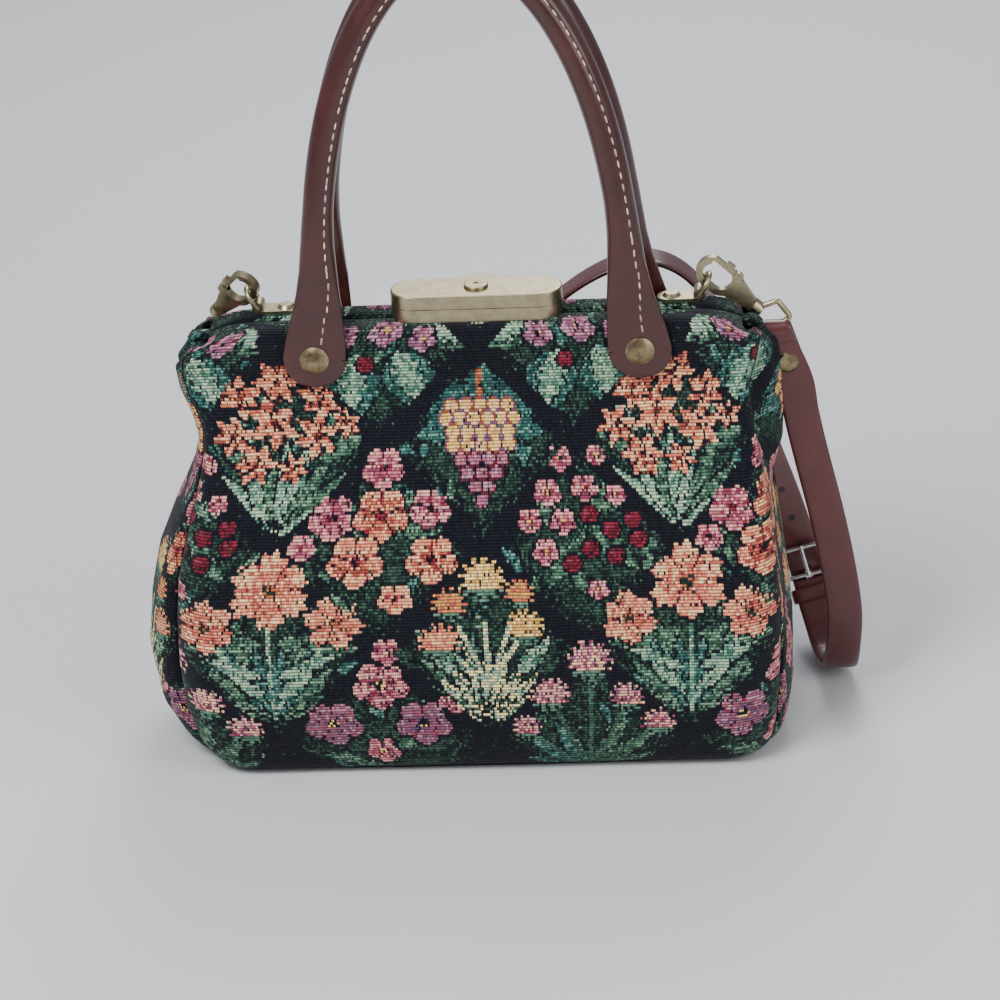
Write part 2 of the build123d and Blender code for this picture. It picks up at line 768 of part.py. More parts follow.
def turned_back(points, turns, end):
    """The short length behind the strap that its rivet holds."""
    first, second = Vector(*points[0]), Vector(*points[1])
    along = (second - first).normalized()
    turn = radians(turns[0])
    width = square_to(Vector(cos(turn), sin(turn), 0), along)
    behind = along.cross(width).normalized()
    if behind.Y < 0 and end == right or behind.X > 0 and end == left:
        behind = behind * -1
    centre = first + along * (strap_fold / 2 - 1) + behind * (strap_thickness - 0.1)
    plane = Plane(origin=centre, x_dir=width, z_dir=behind)
    flap = extrude(plane * Rectangle(strap_width, strap_fold), strap_thickness / 2, both=True)
    spot = first + along * strap_rivet_drop
    face = spot - behind * (strap_thickness / 2)
    return flap, face, behind * -1


def strap_rivet(face, outward_way):
    head = Plane(origin=face, z_dir=outward_way) * Cone(
        strap_rivet_radius, strap_rivet_radius * 0.72, 1.5, align=(Align.CENTER, Align.CENTER, Align.MIN)
    )
    tail_start = face - outward_way * (2 * strap_thickness)
    return head + rod(tail_start, face, rivet_shank) + rod(tail_start - outward_way * 0.8, tail_start, 3)


def through(face, outward_way, radius):
    return rod(face + outward_way * 3, face - outward_way * 9, radius)


flap, face_right, way_right = turned_back(fall, [0], right)
eye, eye_bore = strap_eye(right)
strap_front = ribbon(fall, [0] * len(fall), strap_thickness) + eye
strap_front = strap_front + flap - eye_bore - through(face_right, way_right, rivet_shank + rivet_fit)
buckle_spot = Vector(*fall[-1])
end_way = (buckle_spot - Vector(*fall[-2])).normalized()
bar_point = buckle_spot + end_way * (buckle_wire + gap + 0.1)
end_plane = strap_frame(fall, len(fall) - 1)
bar_a = bar_point - end_plane.x_dir * notch_half
bar_b = bar_point + end_plane.x_dir * notch_half
strap_front -= rod(bar_a, bar_b, buckle_wire + notch_depth)
save("strap_buckle_side", strap_front)

bar_left, _, down_left = loop_bar(left)
end_left = bar_left + down_left * strap_start_drop
climb = [
    (136.4, 61.6, 14.5), (134.4, 65, 23.5), (132, 66.8, 33), (129.4, 67.2, 44), (126, 65.5, 58),
    (122, 61, 74), (118, 54.5, 90), (114.5, 48, 106), (111, 42.5, 122), (107.5, 38, 138),
    (103.5, 35, 154), (99, 33, 168), (93.5, 32, 180), (85.5, 32, 190), (75.5, 32, 196),
    (64.5, 32, 197), (53, 32, 193.5), (41, 32, 187), (29.5, 32.5, 178), (18.5, 34, 166.5),
    (8.5, 37, 152), (-0.5, 41.5, 135), (-8, 47, 116.5), (-14.5, 54, 97), (-20.5, 61.5, 76),
    (-26, 67, 55), (-32, 70, 36), (-41, 71.5, 21), (-53.5, 72, 12.5), (-67.5, 72, 12.5),
    (-79.5, 71.5, 21), (-88, 70, 36), (-94, 67, 55), (-99, 61.5, 76), (-103.5, 54, 97),
    (-107.5, 46.5, 116.5), (-111, 39, 135), (-113.5, 33, 150),
    end_left,
]
turn_list = []
for index in range(len(climb)):
    turn_list.append(min(max((index - 2) * 9.0, 0), 90))
backwards = list(reversed(climb))
flap, face_left, way_left = turned_back(backwards, [90], left)
eye, eye_bore = strap_eye(left)
strap_rear = ribbon(climb, turn_list, strap_thickness) + eye
strap_rear = strap_rear + flap - eye_bore - through(face_left, way_left, rivet_shank + rivet_fit)
for index in range(3, 7):
    plane = strap_frame(climb, index, turn_list[index])
    spot = Vector(*climb[index])
    strap_rear -= rod(spot - plane.y_dir * 4, spot + plane.y_dir * 4, strap_hole_radius)
save("strap_hole_side", strap_rear)
rivets = [strap_rivet(face_right, way_right), strap_rivet(face_left, way_left)]
save("strap_rivets", Compound(children=rivets))


# ---- Buckle and keeper ----
buckle_plane = strap_frame(climb, 2)
buckle_half = strap_width / 2 + 0.6 + buckle_wire
up_along = buckle_plane.z_dir
cross = buckle_plane.x_dir
corners = [
    bar_point - cross * buckle_half,
    bar_point - cross * buckle_half + up_along * buckle_height,
    bar_point + cross * buckle_half + up_along * buckle_height,
    bar_point + cross * buckle_half,
]
wires = []
for index in range(4):
    a = corners[index]
    b = corners[(index + 1) % 4]
    wires.append(rod(a, b, buckle_wire))
balls = [Location(corner) * Sphere(buckle_wire) for corner in corners]
buckle = wires[0] + wires[1] + wires[2] + wires[3] + balls[0] + balls[1] + balls[2] + balls[3]
save("buckle_frame", buckle)

facing = up_along.cross(cross).normalized()
facing = facing * -1 if facing.Y > 0 else facing
prong_out = buckle_wire + prong_wire + 0.15
prong_bore = buckle_wire + prong_fit
prong_ring = rod(bar_point - cross * 1.4, bar_point + cross * 1.4, prong_bore + 1.2)
prong_tip = bar_point + up_along * (buckle_height + prong_past) + facing * prong_out
prong_start = bar_point + facing * prong_out + up_along * 0.4
prong = prong_ring + rod(prong_start, prong_tip, prong_wire)
prong -= rod(bar_point - cross * 4, bar_point + cross * 4, prong_bore)
save("buckle_prong", prong)

lower_strap = strap_frame(fall, len(fall) - 2)
keeper_spot = (Vector(*fall[-2]) + Vector(*climb[1])) * 0.5
keeper_plane = Plane(origin=keeper_spot, x_dir=lower_strap.x_dir, z_dir=lower_strap.z_dir)
inner_depth = layer_gap + strap_thickness + 1
inner_width = strap_width + 1.2
keeper = Rectangle(inner_width + 2 * keeper_wall, inner_depth + 2 * keeper_wall)
keeper -= Rectangle(inner_width, inner_depth)
save("strap_keeper", extrude(keeper_plane * keeper, keeper_width / 2, both=True))
print("buckle bar", bar_point, "along", cross, "up", up_along)

for end, name in ((left, "left"), (right, "right")):
    spot = swivel_centre(end)
    aim = hook_aim[end]
    plane = hook_plane(end)
    pivot = plane.origin + plane.x_dir * pivot_x + plane.y_dir * pivot_y
    print(name, "swivel", spot, "aim", aim, "gate pivot", pivot, "axis", plane.z_dir)
    print(name, "bar", loop_bar(end))
print("ring barrel", barrel_x, lug_y, barrel_z, "fold", fold_depth, fold_height)
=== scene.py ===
# %% [markdown]
# A small carpet bag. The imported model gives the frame, the lock, the strap fittings and every
# place and size. This script gives the looks: woven cloth, waxed leather and aged brass.
# It starts by loading that frame, so that every new piece is made around the real parts.

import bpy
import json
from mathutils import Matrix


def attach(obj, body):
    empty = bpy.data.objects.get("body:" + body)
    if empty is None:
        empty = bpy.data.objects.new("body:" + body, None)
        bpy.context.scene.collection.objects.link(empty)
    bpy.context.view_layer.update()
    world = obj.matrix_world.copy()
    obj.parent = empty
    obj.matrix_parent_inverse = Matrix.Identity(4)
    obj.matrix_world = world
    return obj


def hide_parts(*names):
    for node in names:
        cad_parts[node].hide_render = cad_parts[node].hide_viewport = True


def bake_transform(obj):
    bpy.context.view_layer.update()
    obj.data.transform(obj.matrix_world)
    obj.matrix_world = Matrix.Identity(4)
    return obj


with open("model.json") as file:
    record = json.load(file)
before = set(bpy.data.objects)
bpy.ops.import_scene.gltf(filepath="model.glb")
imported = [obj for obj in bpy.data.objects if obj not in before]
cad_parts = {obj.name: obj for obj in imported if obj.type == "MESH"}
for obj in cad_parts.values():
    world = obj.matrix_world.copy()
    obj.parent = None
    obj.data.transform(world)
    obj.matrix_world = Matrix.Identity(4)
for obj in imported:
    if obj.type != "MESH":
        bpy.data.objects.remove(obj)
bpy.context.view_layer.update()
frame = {"nodes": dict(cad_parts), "record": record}

import json
from math import cos, pi, radians, sin

import bmesh
import bpy
import numpy as np
from mathutils import Matrix, Vector, noise

MM = 0.001
scene = bpy.context.scene

# %% [markdown]
# The camera stands a little above the bag and a little to its right, and is turned a few
# degrees about its own line of sight. A long lens keeps the perspective mild. It is set up
# first, because every later choice is judged through it.

# %% Camera
CAMERA_TURN = 4.4        # degrees to the right of straight ahead
CAMERA_RISE = 26.0       # degrees above level
CAMERA_ROLL = 3.5        # degrees, the right side of the view raised
CAMERA_REACH = 1.9
AIM = Vector((0.0045, 0.0, 0.1018))
LENS_MM = 162.5
SENSOR_MM = 36.0

turn, rise = radians(CAMERA_TURN), radians(CAMERA_RISE)
back = Vector((sin(turn) * cos(rise), -cos(turn) * cos(rise), sin(rise)))
look = (-back).to_track_quat("-Z", "Y").to_matrix()
look = look @ Matrix.Rotation(radians(-CAMERA_ROLL), 3, "Z")
camera_data = bpy.data.cameras.new("studio_camera")
camera_data.lens = LENS_MM
camera_data.sensor_width = SENSOR_MM
camera = bpy.data.objects.new("studio_camera", camera_data)
camera.matrix_world = Matrix.Translation(AIM + back * CAMERA_REACH) @ look.to_4x4()
scene.collection.objects.link(camera)
scene.camera = camera
print("camera at", [round(value, 3) for value in camera.location])

# %% [markdown]
# A smooth line through a few chosen points shapes nearly everything here: the side of the
# cloth, the strap, the handles. This helper reads such a line anywhere along it.

# %% A smooth line through points
def along(points, where):
    """Points of a smooth line through the given ones; where runs from 0 to 1 (an array)."""
    points = np.asarray(points, float)
    last = len(points) - 1
    spot = np.clip(np.asarray(where, float), 0, 1) * last
    low = np.minimum(spot.astype(int), last - 1)
    t = (spot - low)[..., None]
    before = points[np.maximum(low - 1, 0)]
    start, end = points[low], points[low + 1]
    after = points[np.minimum(low + 2, last)]
    slope_a, slope_b = (end - before) / 2, (after - start) / 2
    t2, t3 = t * t, t * t * t
    near, far = 2 * t3 - 3 * t2 + 1, 3 * t2 - 2 * t3
    return near * start + (t3 - 2 * t2 + t) * slope_a + far * end + (t3 - t2) * slope_b


def rounded(value, power):
    """A sine or cosine pushed towards a square as the power falls to 0."""
    return np.sign(value) * np.abs(value) ** power


def finish_piece(name, bm, material, smooth=True):
    """Turns a bmesh into a linked object with its material and slot."""
    mesh = bpy.data.meshes.new(name)
    bm.to_mesh(mesh)
    bm.free()
    for face in mesh.polygons:
        face.use_smooth = smooth
    mesh.materials.append(material)
    piece = bpy.data.objects.new(name, mesh)
    scene.collection.objects.link(piece)
    return piece


def thicken(piece, thickness, offset=-1):
    """Gives a cloth its thickness in millimetres, inwards unless the offset is 0."""
    thick = piece.modifiers.new("thickness", "SOLIDIFY")
    thick.thickness = thickness * MM
    thick.offset = offset

# %% [markdown]
# Many surfaces are a flat grid that is wrapped onto a shape, as cloth is. The grid keeps an
# even set of cells, and a map lays real millimetres of cloth on it for the weave to follow.

# %% Wrap a grid onto a shape
def wrapped(columns, rows, place, measure=None):
    """A grid whose (u, v) from 0 to 1 go to place(u, v); measure gives its cloth coordinates."""
    bm = bmesh.new()
    bmesh.ops.create_grid(bm, x_segments=columns, y_segments=rows, size=0.5)
    bm.verts.index_update()
    u = np.array([vert.co.x + 0.5 for vert in bm.verts])
    v = np.array([vert.co.y + 0.5 for vert in bm.verts])
    spots = place(u, v)
    for vert, spot in zip(bm.verts, spots):
        vert.co = Vector(spot) * MM
    if measure is not None:
        a, b = measure(u, v)
        layer = bm.loops.layers.uv.new("cloth")
        for face in bm.faces:
            for loop in face.loops:
                index = loop.vert.index
                loop[layer].uv = (a[index] * MM, b[index] * MM)
    return bm, u, v

# %% [markdown]
# Weave is the look of this bag. Ribs of weft run across it at a steady pitch, and finer warp
# threads cross them. One node group makes both from cloth coordinates, and gives a height and
# a painted shade: the colour is lifted on the rib tops as a painted highlight and darkened in the
# grooves between ribs as painted shade, with the fibres' own flecks. The cloth, the lining and
# the cut edges can all use it.

# %% Node helpers and the weave group
def group_with(name, inputs, outputs):
    """An empty node group with named sockets."""
    tree = bpy.data.node_groups.new(name, "ShaderNodeTree")
    for label, kind, value in inputs:
        socket = tree.interface.new_socket(label, in_out="INPUT", socket_type=kind)
        if value is not None:
            socket.default_value = value
    for label, kind in outputs:
        tree.interface.new_socket(label, in_out="OUTPUT", socket_type=kind)
    return tree, tree.nodes.new("NodeGroupInput"), tree.nodes.new("NodeGroupOutput")


def calc(tree, kind, a, b=None, c=None):
    """A Math node fed by sockets or plain numbers."""
    node = tree.nodes.new("ShaderNodeMath")
    node.operation = kind
    for index, value in enumerate((a, b, c)):
        if value is None:
            continue
        if isinstance(value, (int, float)):
            node.inputs[index].default_value = value
        else:
            tree.links.new(value, node.inputs[index])
    return node.outputs[0]


def clamped(tree, value):
    return calc(tree, "MINIMUM", calc(tree, "MAXIMUM", value, 0.0), 1.0)


def noise_at(tree, vector, scale, detail=3.0, rough=0.5):
    node = tree.nodes.new("ShaderNodeTexNoise")
    node.inputs["Scale"].default_value = scale
    node.inputs["Detail"].default_value = detail
    node.inputs["Roughness"].default_value = rough
    if vector is not None:
        tree.links.new(vector, node.inputs["Vector"])
    return node


def mixed(tree, factor, a, b, kind="MIX"):
    """A colour mix fed by sockets, colours or numbers."""
    node = tree.nodes.new("ShaderNodeMix")
    node.data_type = "RGBA"
    node.blend_type = kind
    for socket, value in ((node.inputs[0], factor), (node.inputs[6], a), (node.inputs[7], b)):
        if isinstance(value, (int, float)):
            socket.default_value = value
        elif isinstance(value, tuple):
            socket.default_value = (*value, 1)
        else:
            tree.links.new(value, socket)
    return node.outputs[2]


weave, weave_in, weave_out = group_with(
    "weave",
    [("Vector", "NodeSocketVector", None), ("Rib", "NodeSocketFloat", 1000 / 1.35),
     ("Warp", "NodeSocketFloat", 1150.0), ("Fuzz", "NodeSocketFloat", 0.35)],
    [("Shade", "NodeSocketFloat"), ("Height", "NodeSocketFloat")],
)
split = weave.nodes.new("ShaderNodeSeparateXYZ")
weave.links.new(weave_in.outputs["Vector"], split.inputs[0])
wander = noise_at(weave, weave_in.outputs["Vector"], 260.0, 2.0)
drift = calc(weave, "MULTIPLY_ADD", wander.outputs[0], 0.3, -0.4)


def ridges(axis, pitch):
    """Even ridges from 0 to 1 along one axis of the cloth."""
    wave = calc(weave, "MULTIPLY", split.outputs[axis], weave_in.outputs[pitch])
    wave = calc(weave, "MULTIPLY", calc(weave, "ADD", wave, drift), 2 * pi)
    return calc(weave, "MULTIPLY_ADD", calc(weave, "SINE", wave), 0.5, 0.5)


rib, warp = ridges(1, "Rib"), ridges(0, "Warp")
fibre = noise_at(weave, weave_in.outputs["Vector"], 2600.0, 2.0, 0.7)
both = calc(weave, "MULTIPLY_ADD", rib, 0.75, calc(weave, "MULTIPLY", warp, 0.25))
fuzzy = calc(weave, "MULTIPLY", fibre.outputs[0], weave_in.outputs["Fuzz"])
height = calc(weave, "ADD", both, fuzzy)
# Painted highlight and shade: colour follows the height, lighter on the rib tops and darker in the grooves.
shade = calc(weave, "MULTIPLY_ADD", height, 1.35, 0.02)
weave.links.new(shade, weave_out.inputs["Shade"])
weave.links.new(height, weave_out.inputs["Height"])
print("weave group sockets", len(weave.interface.items_tree))

# %% [markdown]
# Leather and metal share two more effects: a fine grain with creases, and a slow patina that
# darkens some places and rubs others bright.

# %% Grain and patina groups
grain, grain_in, grain_out = group_with(
    "grain",
    [("Vector", "NodeSocketVector", None), ("Pores", "NodeSocketFloat", 900.0),
     ("Streaks", "NodeSocketFloat", 60.0)],
    [("Mottle", "NodeSocketFloat"), ("Height", "NodeSocketFloat")],
)
pores = grain.nodes.new("ShaderNodeTexVoronoi")
grain.links.new(grain_in.outputs["Vector"], pores.inputs["Vector"])
grain.links.new(grain_in.outputs["Pores"], pores.inputs["Scale"])
mottle = noise_at(grain, grain_in.outputs["Vector"], 60.0, 6.0, 0.65)
grain.links.new(grain_in.outputs["Streaks"], mottle.inputs["Scale"])
fine = noise_at(grain, grain_in.outputs["Vector"], 700.0, 4.0, 0.6)
ground = calc(grain, "MULTIPLY_ADD", pores.outputs["Distance"], 0.5, fine.outputs[0])
grain.links.new(mottle.outputs[0], grain_out.inputs["Mottle"])
grain.links.new(ground, grain_out.inputs["Height"])

patina, patina_in, patina_out = group_with(
    "patina",
    [("Vector", "NodeSocketVector", None), ("Size", "NodeSocketFloat", 220.0)],
    [("Bright", "NodeSocketFloat"), ("Scratch", "NodeSocketFloat")],
)
clouds = noise_at(patina, patina_in.outputs["Vector"], 220.0, 5.0, 0.6)
patina.links.new(patina_in.outputs["Size"], clouds.inputs["Scale"])
stretch = patina.nodes.new("ShaderNodeMapping")
stretch.inputs["Scale"].default_value = (30.0, 4200.0, 900.0)
patina.links.new(patina_in.outputs["Vector"], stretch.inputs["Vector"])
lines = noise_at(patina, stretch.outputs[0], 1.0, 3.0, 0.6)
patina.links.new(clouds.outputs[0], patina_out.inputs["Bright"])
patina.links.new(lines.outputs[0], patina_out.inputs["Scratch"])
print("groups", [tree.name for tree in bpy.data.node_groups])

# %% [markdown]
# Each finish is a material of its own around one shader. Values that are the same all over
# sit on the shader's own sockets; only what changes over the surface comes from nodes.

# %% Materials
def material_start(name, **fixed):
    """A material with its shader, and constants set on the shader's own sockets."""
    made = bpy.data.materials.new(name)
    made.use_nodes = True
    tree = made.node_tree
    shader = tree.nodes["Principled BSDF"]
    for label, value in fixed.items():
        shader.inputs[label.replace("_", " ")].default_value = value
    return made, tree, shader


def placed(tree, source, values):
    """A group node in a material, with its own values."""
    node = tree.nodes.new("ShaderNodeGroup")
    node.node_tree = source
    for label, value in values.items():
        if isinstance(value, (int, float)):
            node.inputs[label].default_value = value
        else:
            tree.links.new(value, node.inputs[label])
    return node


def surfaced(tree, shader, colour, height, strength, distance, gloss=None):
    """Feeds a shader's colour and bump, and its roughness where that changes too."""
    tree.links.new(colour, shader.inputs["Base Color"])
    if gloss is not None:
        tree.links.new(gloss, shader.inputs["Roughness"])
    bump = tree.nodes.new("ShaderNodeBump")
    bump.inputs["Strength"].default_value = strength
    bump.inputs["Distance"].default_value = distance
    tree.links.new(height, bump.inputs["Height"])
    tree.links.new(bump.outputs[0], shader.inputs["Normal"])


def object_coordinates(tree):
    return tree.nodes.new("ShaderNodeTexCoord").outputs["Object"]


def tapestry_material():
    made, tree, shader = material_start(
        "tapestry_weave", Roughness=0.9, Sheen_Weight=0.06, Sheen_Roughness=0.5,
        Specular_IOR_Level=0.15,
    )
    cloth_map = tree.nodes.new("ShaderNodeUVMap")
    cloth_map.uv_map = "cloth"
    yarn = tree.nodes.new("ShaderNodeVertexColor")
    yarn.layer_name = "yarn"
    threads = placed(tree, weave, {"Vector": cloth_map.outputs[0]})
    # Painted highlight and shade: the yarn colour is multiplied by the weave's rib shading.
    tint = mixed(tree, 1.0, yarn.outputs[0], threads.outputs["Shade"], "MULTIPLY")
    surfaced(tree, shader, tint, threads.outputs["Height"], 0.55, 0.0006)
    return made


def leather_material(name, dark, mid, light, rough):
    made, tree, shader = material_start(name, Specular_IOR_Level=0.4, Coat_Weight=0.4, Coat_Roughness=0.12)
    skin = placed(tree, grain, {"Vector": object_coordinates(tree)})
    shade = mixed(tree, skin.outputs["Mottle"], dark, mid)
    worn = calc(tree, "MULTIPLY_ADD", skin.outputs["Mottle"], 4.0, -2.5)
    worn = calc(tree, "MULTIPLY", clamped(tree, worn), 0.3)
    shade = mixed(tree, worn, shade, light)
    rim = tree.nodes.new("ShaderNodeAttribute")
    rim.attribute_name = "rim"
    shade = mixed(tree, calc(tree, "MULTIPLY", rim.outputs["Fac"], 0.8), shade, dark)
    gloss = calc(tree, "MULTIPLY_ADD", skin.outputs["Mottle"], 0.22, rough - 0.1)
    surfaced(tree, shader, shade, skin.outputs["Height"], 0.25, 0.0003, gloss)
    return made


def metal_material(name, dark, bright, low, high, rough):
    made, tree, shader = material_start(name, Metallic=1.0)
    age = placed(tree, patina, {"Vector": object_coordinates(tree)})
    spread = calc(tree, "MULTIPLY_ADD", age.outputs["Bright"], 1.0 / (high - low), -low / (high - low))
    shade = mixed(tree, clamped(tree, spread), dark, bright)
    fine = calc(tree, "MULTIPLY_ADD", age.outputs["Scratch"], 0.5, 0.75)
    shade = mixed(tree, 1.0, shade, fine, "MULTIPLY")
    gloss = calc(tree, "MULTIPLY_ADD", age.outputs["Scratch"], 0.25, rough - 0.12)
    surfaced(tree, shader, shade, age.outputs["Scratch"], 0.12, 0.0001, gloss)
    return made


def plain_weave_material(name, colour, rib, rough=0.9):
    made, tree, shader = material_start(name, Roughness=rough, Sheen_Weight=0.15)
    threads = placed(tree, weave, {"Vector": object_coordinates(tree), "Rib": rib, "Warp": rib})
    # Painted highlight and shade: the colour is multiplied by the weave's rib shading.
    tint = mixed(tree, 1.0, colour, threads.outputs["Shade"], "MULTIPLY")
    surfaced(tree, shader, tint, threads.outputs["Height"], 0.3, 0.0003)
    return made


TAPESTRY = tapestry_material()
HANDLE_LEATHER = leather_material(
    "handle_leather", (0.014, 0.003, 0.003), (0.074, 0.012, 0.010), (0.17, 0.036, 0.028), 0.38
)
STRAP_LEATHER = leather_material(
    "strap_leather", (0.035, 0.006, 0.007), (0.110, 0.018, 0.018), (0.20, 0.055, 0.050), 0.40
)
BRASS = metal_material("antique_brass", (0.26, 0.215, 0.125), (0.46, 0.40, 0.26), 0.15, 0.72, 0.34)
STEEL = metal_material("zinc_steel", (0.35, 0.35, 0.36), (0.62, 0.62, 0.62), 0.3, 0.7, 0.4)
NICKEL = metal_material("polished_nickel", (0.55, 0.55, 0.57), (0.85, 0.85, 0.86), 0.3, 0.7, 0.26)
THREAD = plain_weave_material("waxed_thread", (0.62, 0.44, 0.34), 2500.0, 0.7)
BRONZE = metal_material("rivet_bronze", (0.11, 0.075, 0.045), (0.36, 0.29, 0.16), 0.32, 0.62, 0.36)
LINING = plain_weave_material("lining_cotton", (0.30, 0.22, 0.15), 1800.0)
CORD = plain_weave_material("cord_core", (0.66, 0.60, 0.50), 900.0)
BOARD = plain_weave_material("grey_board", (0.34, 0.30, 0.25), 500.0)
print("materials", len(bpy.data.materials))

# %% [markdown]
# Every CAD node that stays keeps its own mesh and takes one of these finishes by its slot.

# %% Finish the CAD nodes
BY_SLOT = {
    "antique_brass": BRASS, "steel": STEEL, "nickel": NICKEL, "handle_leather": HANDLE_LEATHER,
    "strap_leather": STRAP_LEATHER, "lining_cotton": LINING, "cord_core": CORD, "board": BOARD,
    "tapestry": TAPESTRY,
}
for part in frame["record"]["subparts"]:
    node = frame["nodes"].get(part["node"])
    if node is None:
        continue
    node.data.materials.clear()
    riveted = part["node"].endswith("rivets")
    node.data.materials.append(BRONZE if riveted else BY_SLOT[part["material_slot"]])
print("finished", len(frame["nodes"]), "nodes")

# %% [markdown]
# The cloth is painted the way a loom would weave it: every cell of the grid is one pick of
# weft and takes one yarn colour. First come the yarns themselves and the loom, which knows
# where each cell lies on the flat cloth.

# %% Yarns and the loom
def yarn(code):
    """A yarn colour from a hex code, as linear light."""
    value = np.array([int(code[i:i + 2], 16) / 255 for i in (0, 2, 4)])
    return np.where(value <= 0.04045, value / 12.92, ((value + 0.055) / 1.055) ** 2.4)


def dyed(codes):
    return [yarn(code) for code in codes.split()]


INK = dyed("0b0d16 10131f 14141c")
DEEP = dyed("182a25 24392f 121e1c 355042")
GREEN = dyed("304c3e 456752 223a30 6f8f73")
MINT = dyed("587d69 84a189 3a6453 a9bb9a")
TEAL = dyed("264b45 33605a 1c3d38 62897c")
PEACH = dyed("db9374 e9c08f c9745d ad5548")
CORAL = dyed("d08062 e3b084 b55c49 8c3d36")
ROSE = dyed("bf7479 d99c92 a45867 7d3549")
MAUVE = dyed("85566f b0808c 694560 8f4f60")
WINE = dyed("5f1a27 7a2032 48141e")
GOLD = dyed("e3be72 efd795 c99f52 d8b060")
RUST = dyed("a8583a 8a4130 c07f4f")


CELL_A = 0.9
RIB_PITCH = 1.35


class Loom:
    """Every cell's place on the flat cloth, in millimetres, and its yarn.

    Each rib leans towards one of four yarns, which gives the flowers their cross stripes.
    """

    def __init__(self, a, b, seed):
        self.a, self.b = a, b
        self.random = np.random.default_rng(seed)
        self.rib = np.floor(b / RIB_PITCH).astype(int)
        self.rib = self.rib - self.rib.min()
        self.pick_of_rib = self.random.choice([0, 1, 1, 2, 3], size=self.rib.max() + 1)
        self.shade = np.zeros((len(a), 3))
        self.spread = np.zeros(len(a))
        self.fill(np.ones(len(a), bool), INK)

    def fill(self, mask, yarns, weights=None, share=1.0):
        """Gives the masked cells, or a random share of them, one of the yarns each."""
        if share < 1:
            mask = mask & (self.random.random(len(mask)) < share)
        pick = self.random.choice(len(yarns), size=int(mask.sum()), p=weights)
        if len(yarns) == 4:
            follows = self.random.random(len(pick)) < 0.5
            pick = np.where(follows, self.pick_of_rib[self.rib[mask]], pick)
        self.shade[mask] = np.array(yarns)[pick]

    def far(self, x, y):
        return np.hypot(self.a - x, self.b - y)

    def local(self, x, y, angle):
        """Along and across an axis that starts at a point; angle 0 is upward."""
        s, c = sin(radians(angle)), cos(radians(angle))
        dx, dy = self.a - x, self.b - y
        return dx * s + dy * c, dx * c - dy * s

print("yarns ready")

# %% [markdown]
# A few strokes make every plant: leaves, stems, round petals, pointed petals, berries and
# tufts. Each takes its place, its turn and its size.

# %% Strokes
PETAL_SHARES = [0.4, 0.3, 0.2, 0.1]   # of a petal's four yarns


def leaf(loom, x, y, angle, length, width, yarns, rib=True, jag=0.0, rim_share=0.6, bound=0.88):
    """A leaf from its foot; jag cuts teeth into its edge and the diamond's band bounds it."""
    t, side = loom.local(x, y, angle)
    t = t / length
    inside = (t > 0) & (t < 1) & (loom.spread < bound)
    reach = width / 2 * np.sin(pi * np.clip(t, 0, 1) ** 0.8) * (1 - jag * (np.sin(t * 34) > 0.2))
    mask = inside & (np.abs(side) < reach)
    loom.fill(mask, yarns, [0.4, 0.3, 0.18, 0.12])
    if rib:
        vein = mask & ((np.abs(side) < 0.55) | (np.abs((t * length - np.abs(side) * 0.9) % 5.5) < 0.9))
        loom.fill(vein, [yarns[1], yarns[3]], share=0.75)
    rim = inside & (np.abs(side) >= reach) & (np.abs(side) < reach + 1.2)
    loom.fill(rim, INK, share=rim_share)


def stem(loom, x, y, angle, length, yarns, width=1.1, bend=0.0):
    t, side = loom.local(x, y, angle)
    side = side - bend * (t / length) ** 2
    loom.fill((t > 0) & (t < length) & (np.abs(side) < width / 2 + 0.35), yarns)


def round_flower(loom, x, y, radius, petals, yarns, heart, turn=0.0, ragged=0.0):
    """Rounded petals about a heart, parted by fine dark lines."""
    dx, dy = loom.a - x, loom.b - y
    far = np.hypot(dx, dy)
    spin = np.arctan2(dx, dy) * petals / 2 + radians(turn)
    edge = radius * (0.76 + 0.24 * np.abs(np.cos(spin)))
    edge = edge * (1 + ragged * np.sin(np.arctan2(dx, dy) * 19))
    loom.fill(far < edge + 1.3, INK, share=0.7)
    mask = far < edge
    loom.fill(mask, yarns, PETAL_SHARES)
    near = mask & (far < radius * 0.55)
    loom.fill(near, [yarns[2], yarns[3]], share=0.55)
    parting = mask & (np.abs(np.cos(spin)) < 0.19) & (far > radius * 0.2)
    loom.fill(parting, [WINE[1], INK[1], yarns[3]])
    loom.fill(far < radius * 0.2, heart)


def star_flower(loom, x, y, radius, petals, yarns, turn=0.0):
    """Pointed petals, as a lily has."""
    far = loom.far(x, y)
    loom.fill(far < radius * 0.8, [INK[1], WINE[2], RUST[1]], share=0.55)
    for k in range(petals):
        angle = turn + 360 * k / petals
        leaf(loom, x, y, angle, radius * 1.05, radius * 0.5, yarns, rib=False, rim_share=0.5, bound=1.1)
    loom.fill(far < radius * 0.16, [RUST[1], WINE[0], INK[1]])


def berry(loom, x, y, radius):
    far = loom.far(x, y)
    loom.fill(far < radius + 1.0, INK)
    loom.fill(far < radius, WINE, [0.5, 0.3, 0.2])
    glint = np.hypot(loom.a - x + radius * 0.35, loom.b - y - radius * 0.35)
    loom.fill(glint < radius * 0.33, [ROSE[3], WINE[1]])


def tuft(loom, x, y, radius, yarns, dark):
    """A thistle head: a fringed ball with a darker cup."""
    dx, dy = loom.a - x, loom.b - y
    far = np.hypot(dx, dy)
    fringe = radius * (0.86 + 0.14 * np.sign(np.sin(np.arctan2(dx, dy) * 13)))
    loom.fill(far < fringe + 1.1, INK, share=0.8)
    mask = far < fringe
    loom.fill(mask, yarns, PETAL_SHARES)
    rays = mask & (np.sin(np.arctan2(dx, dy + radius) * 30) > 0.55)
    loom.fill(rays, dark)
    cup = mask & (dy < -radius * 0.45)
    loom.fill(cup, [GREEN[1], MINT[0]])

print("strokes ready")

# %% [markdown]
# The plants stand in a lattice of diamonds with dark bands between. Each plant is drawn
# about the middle of its diamond.

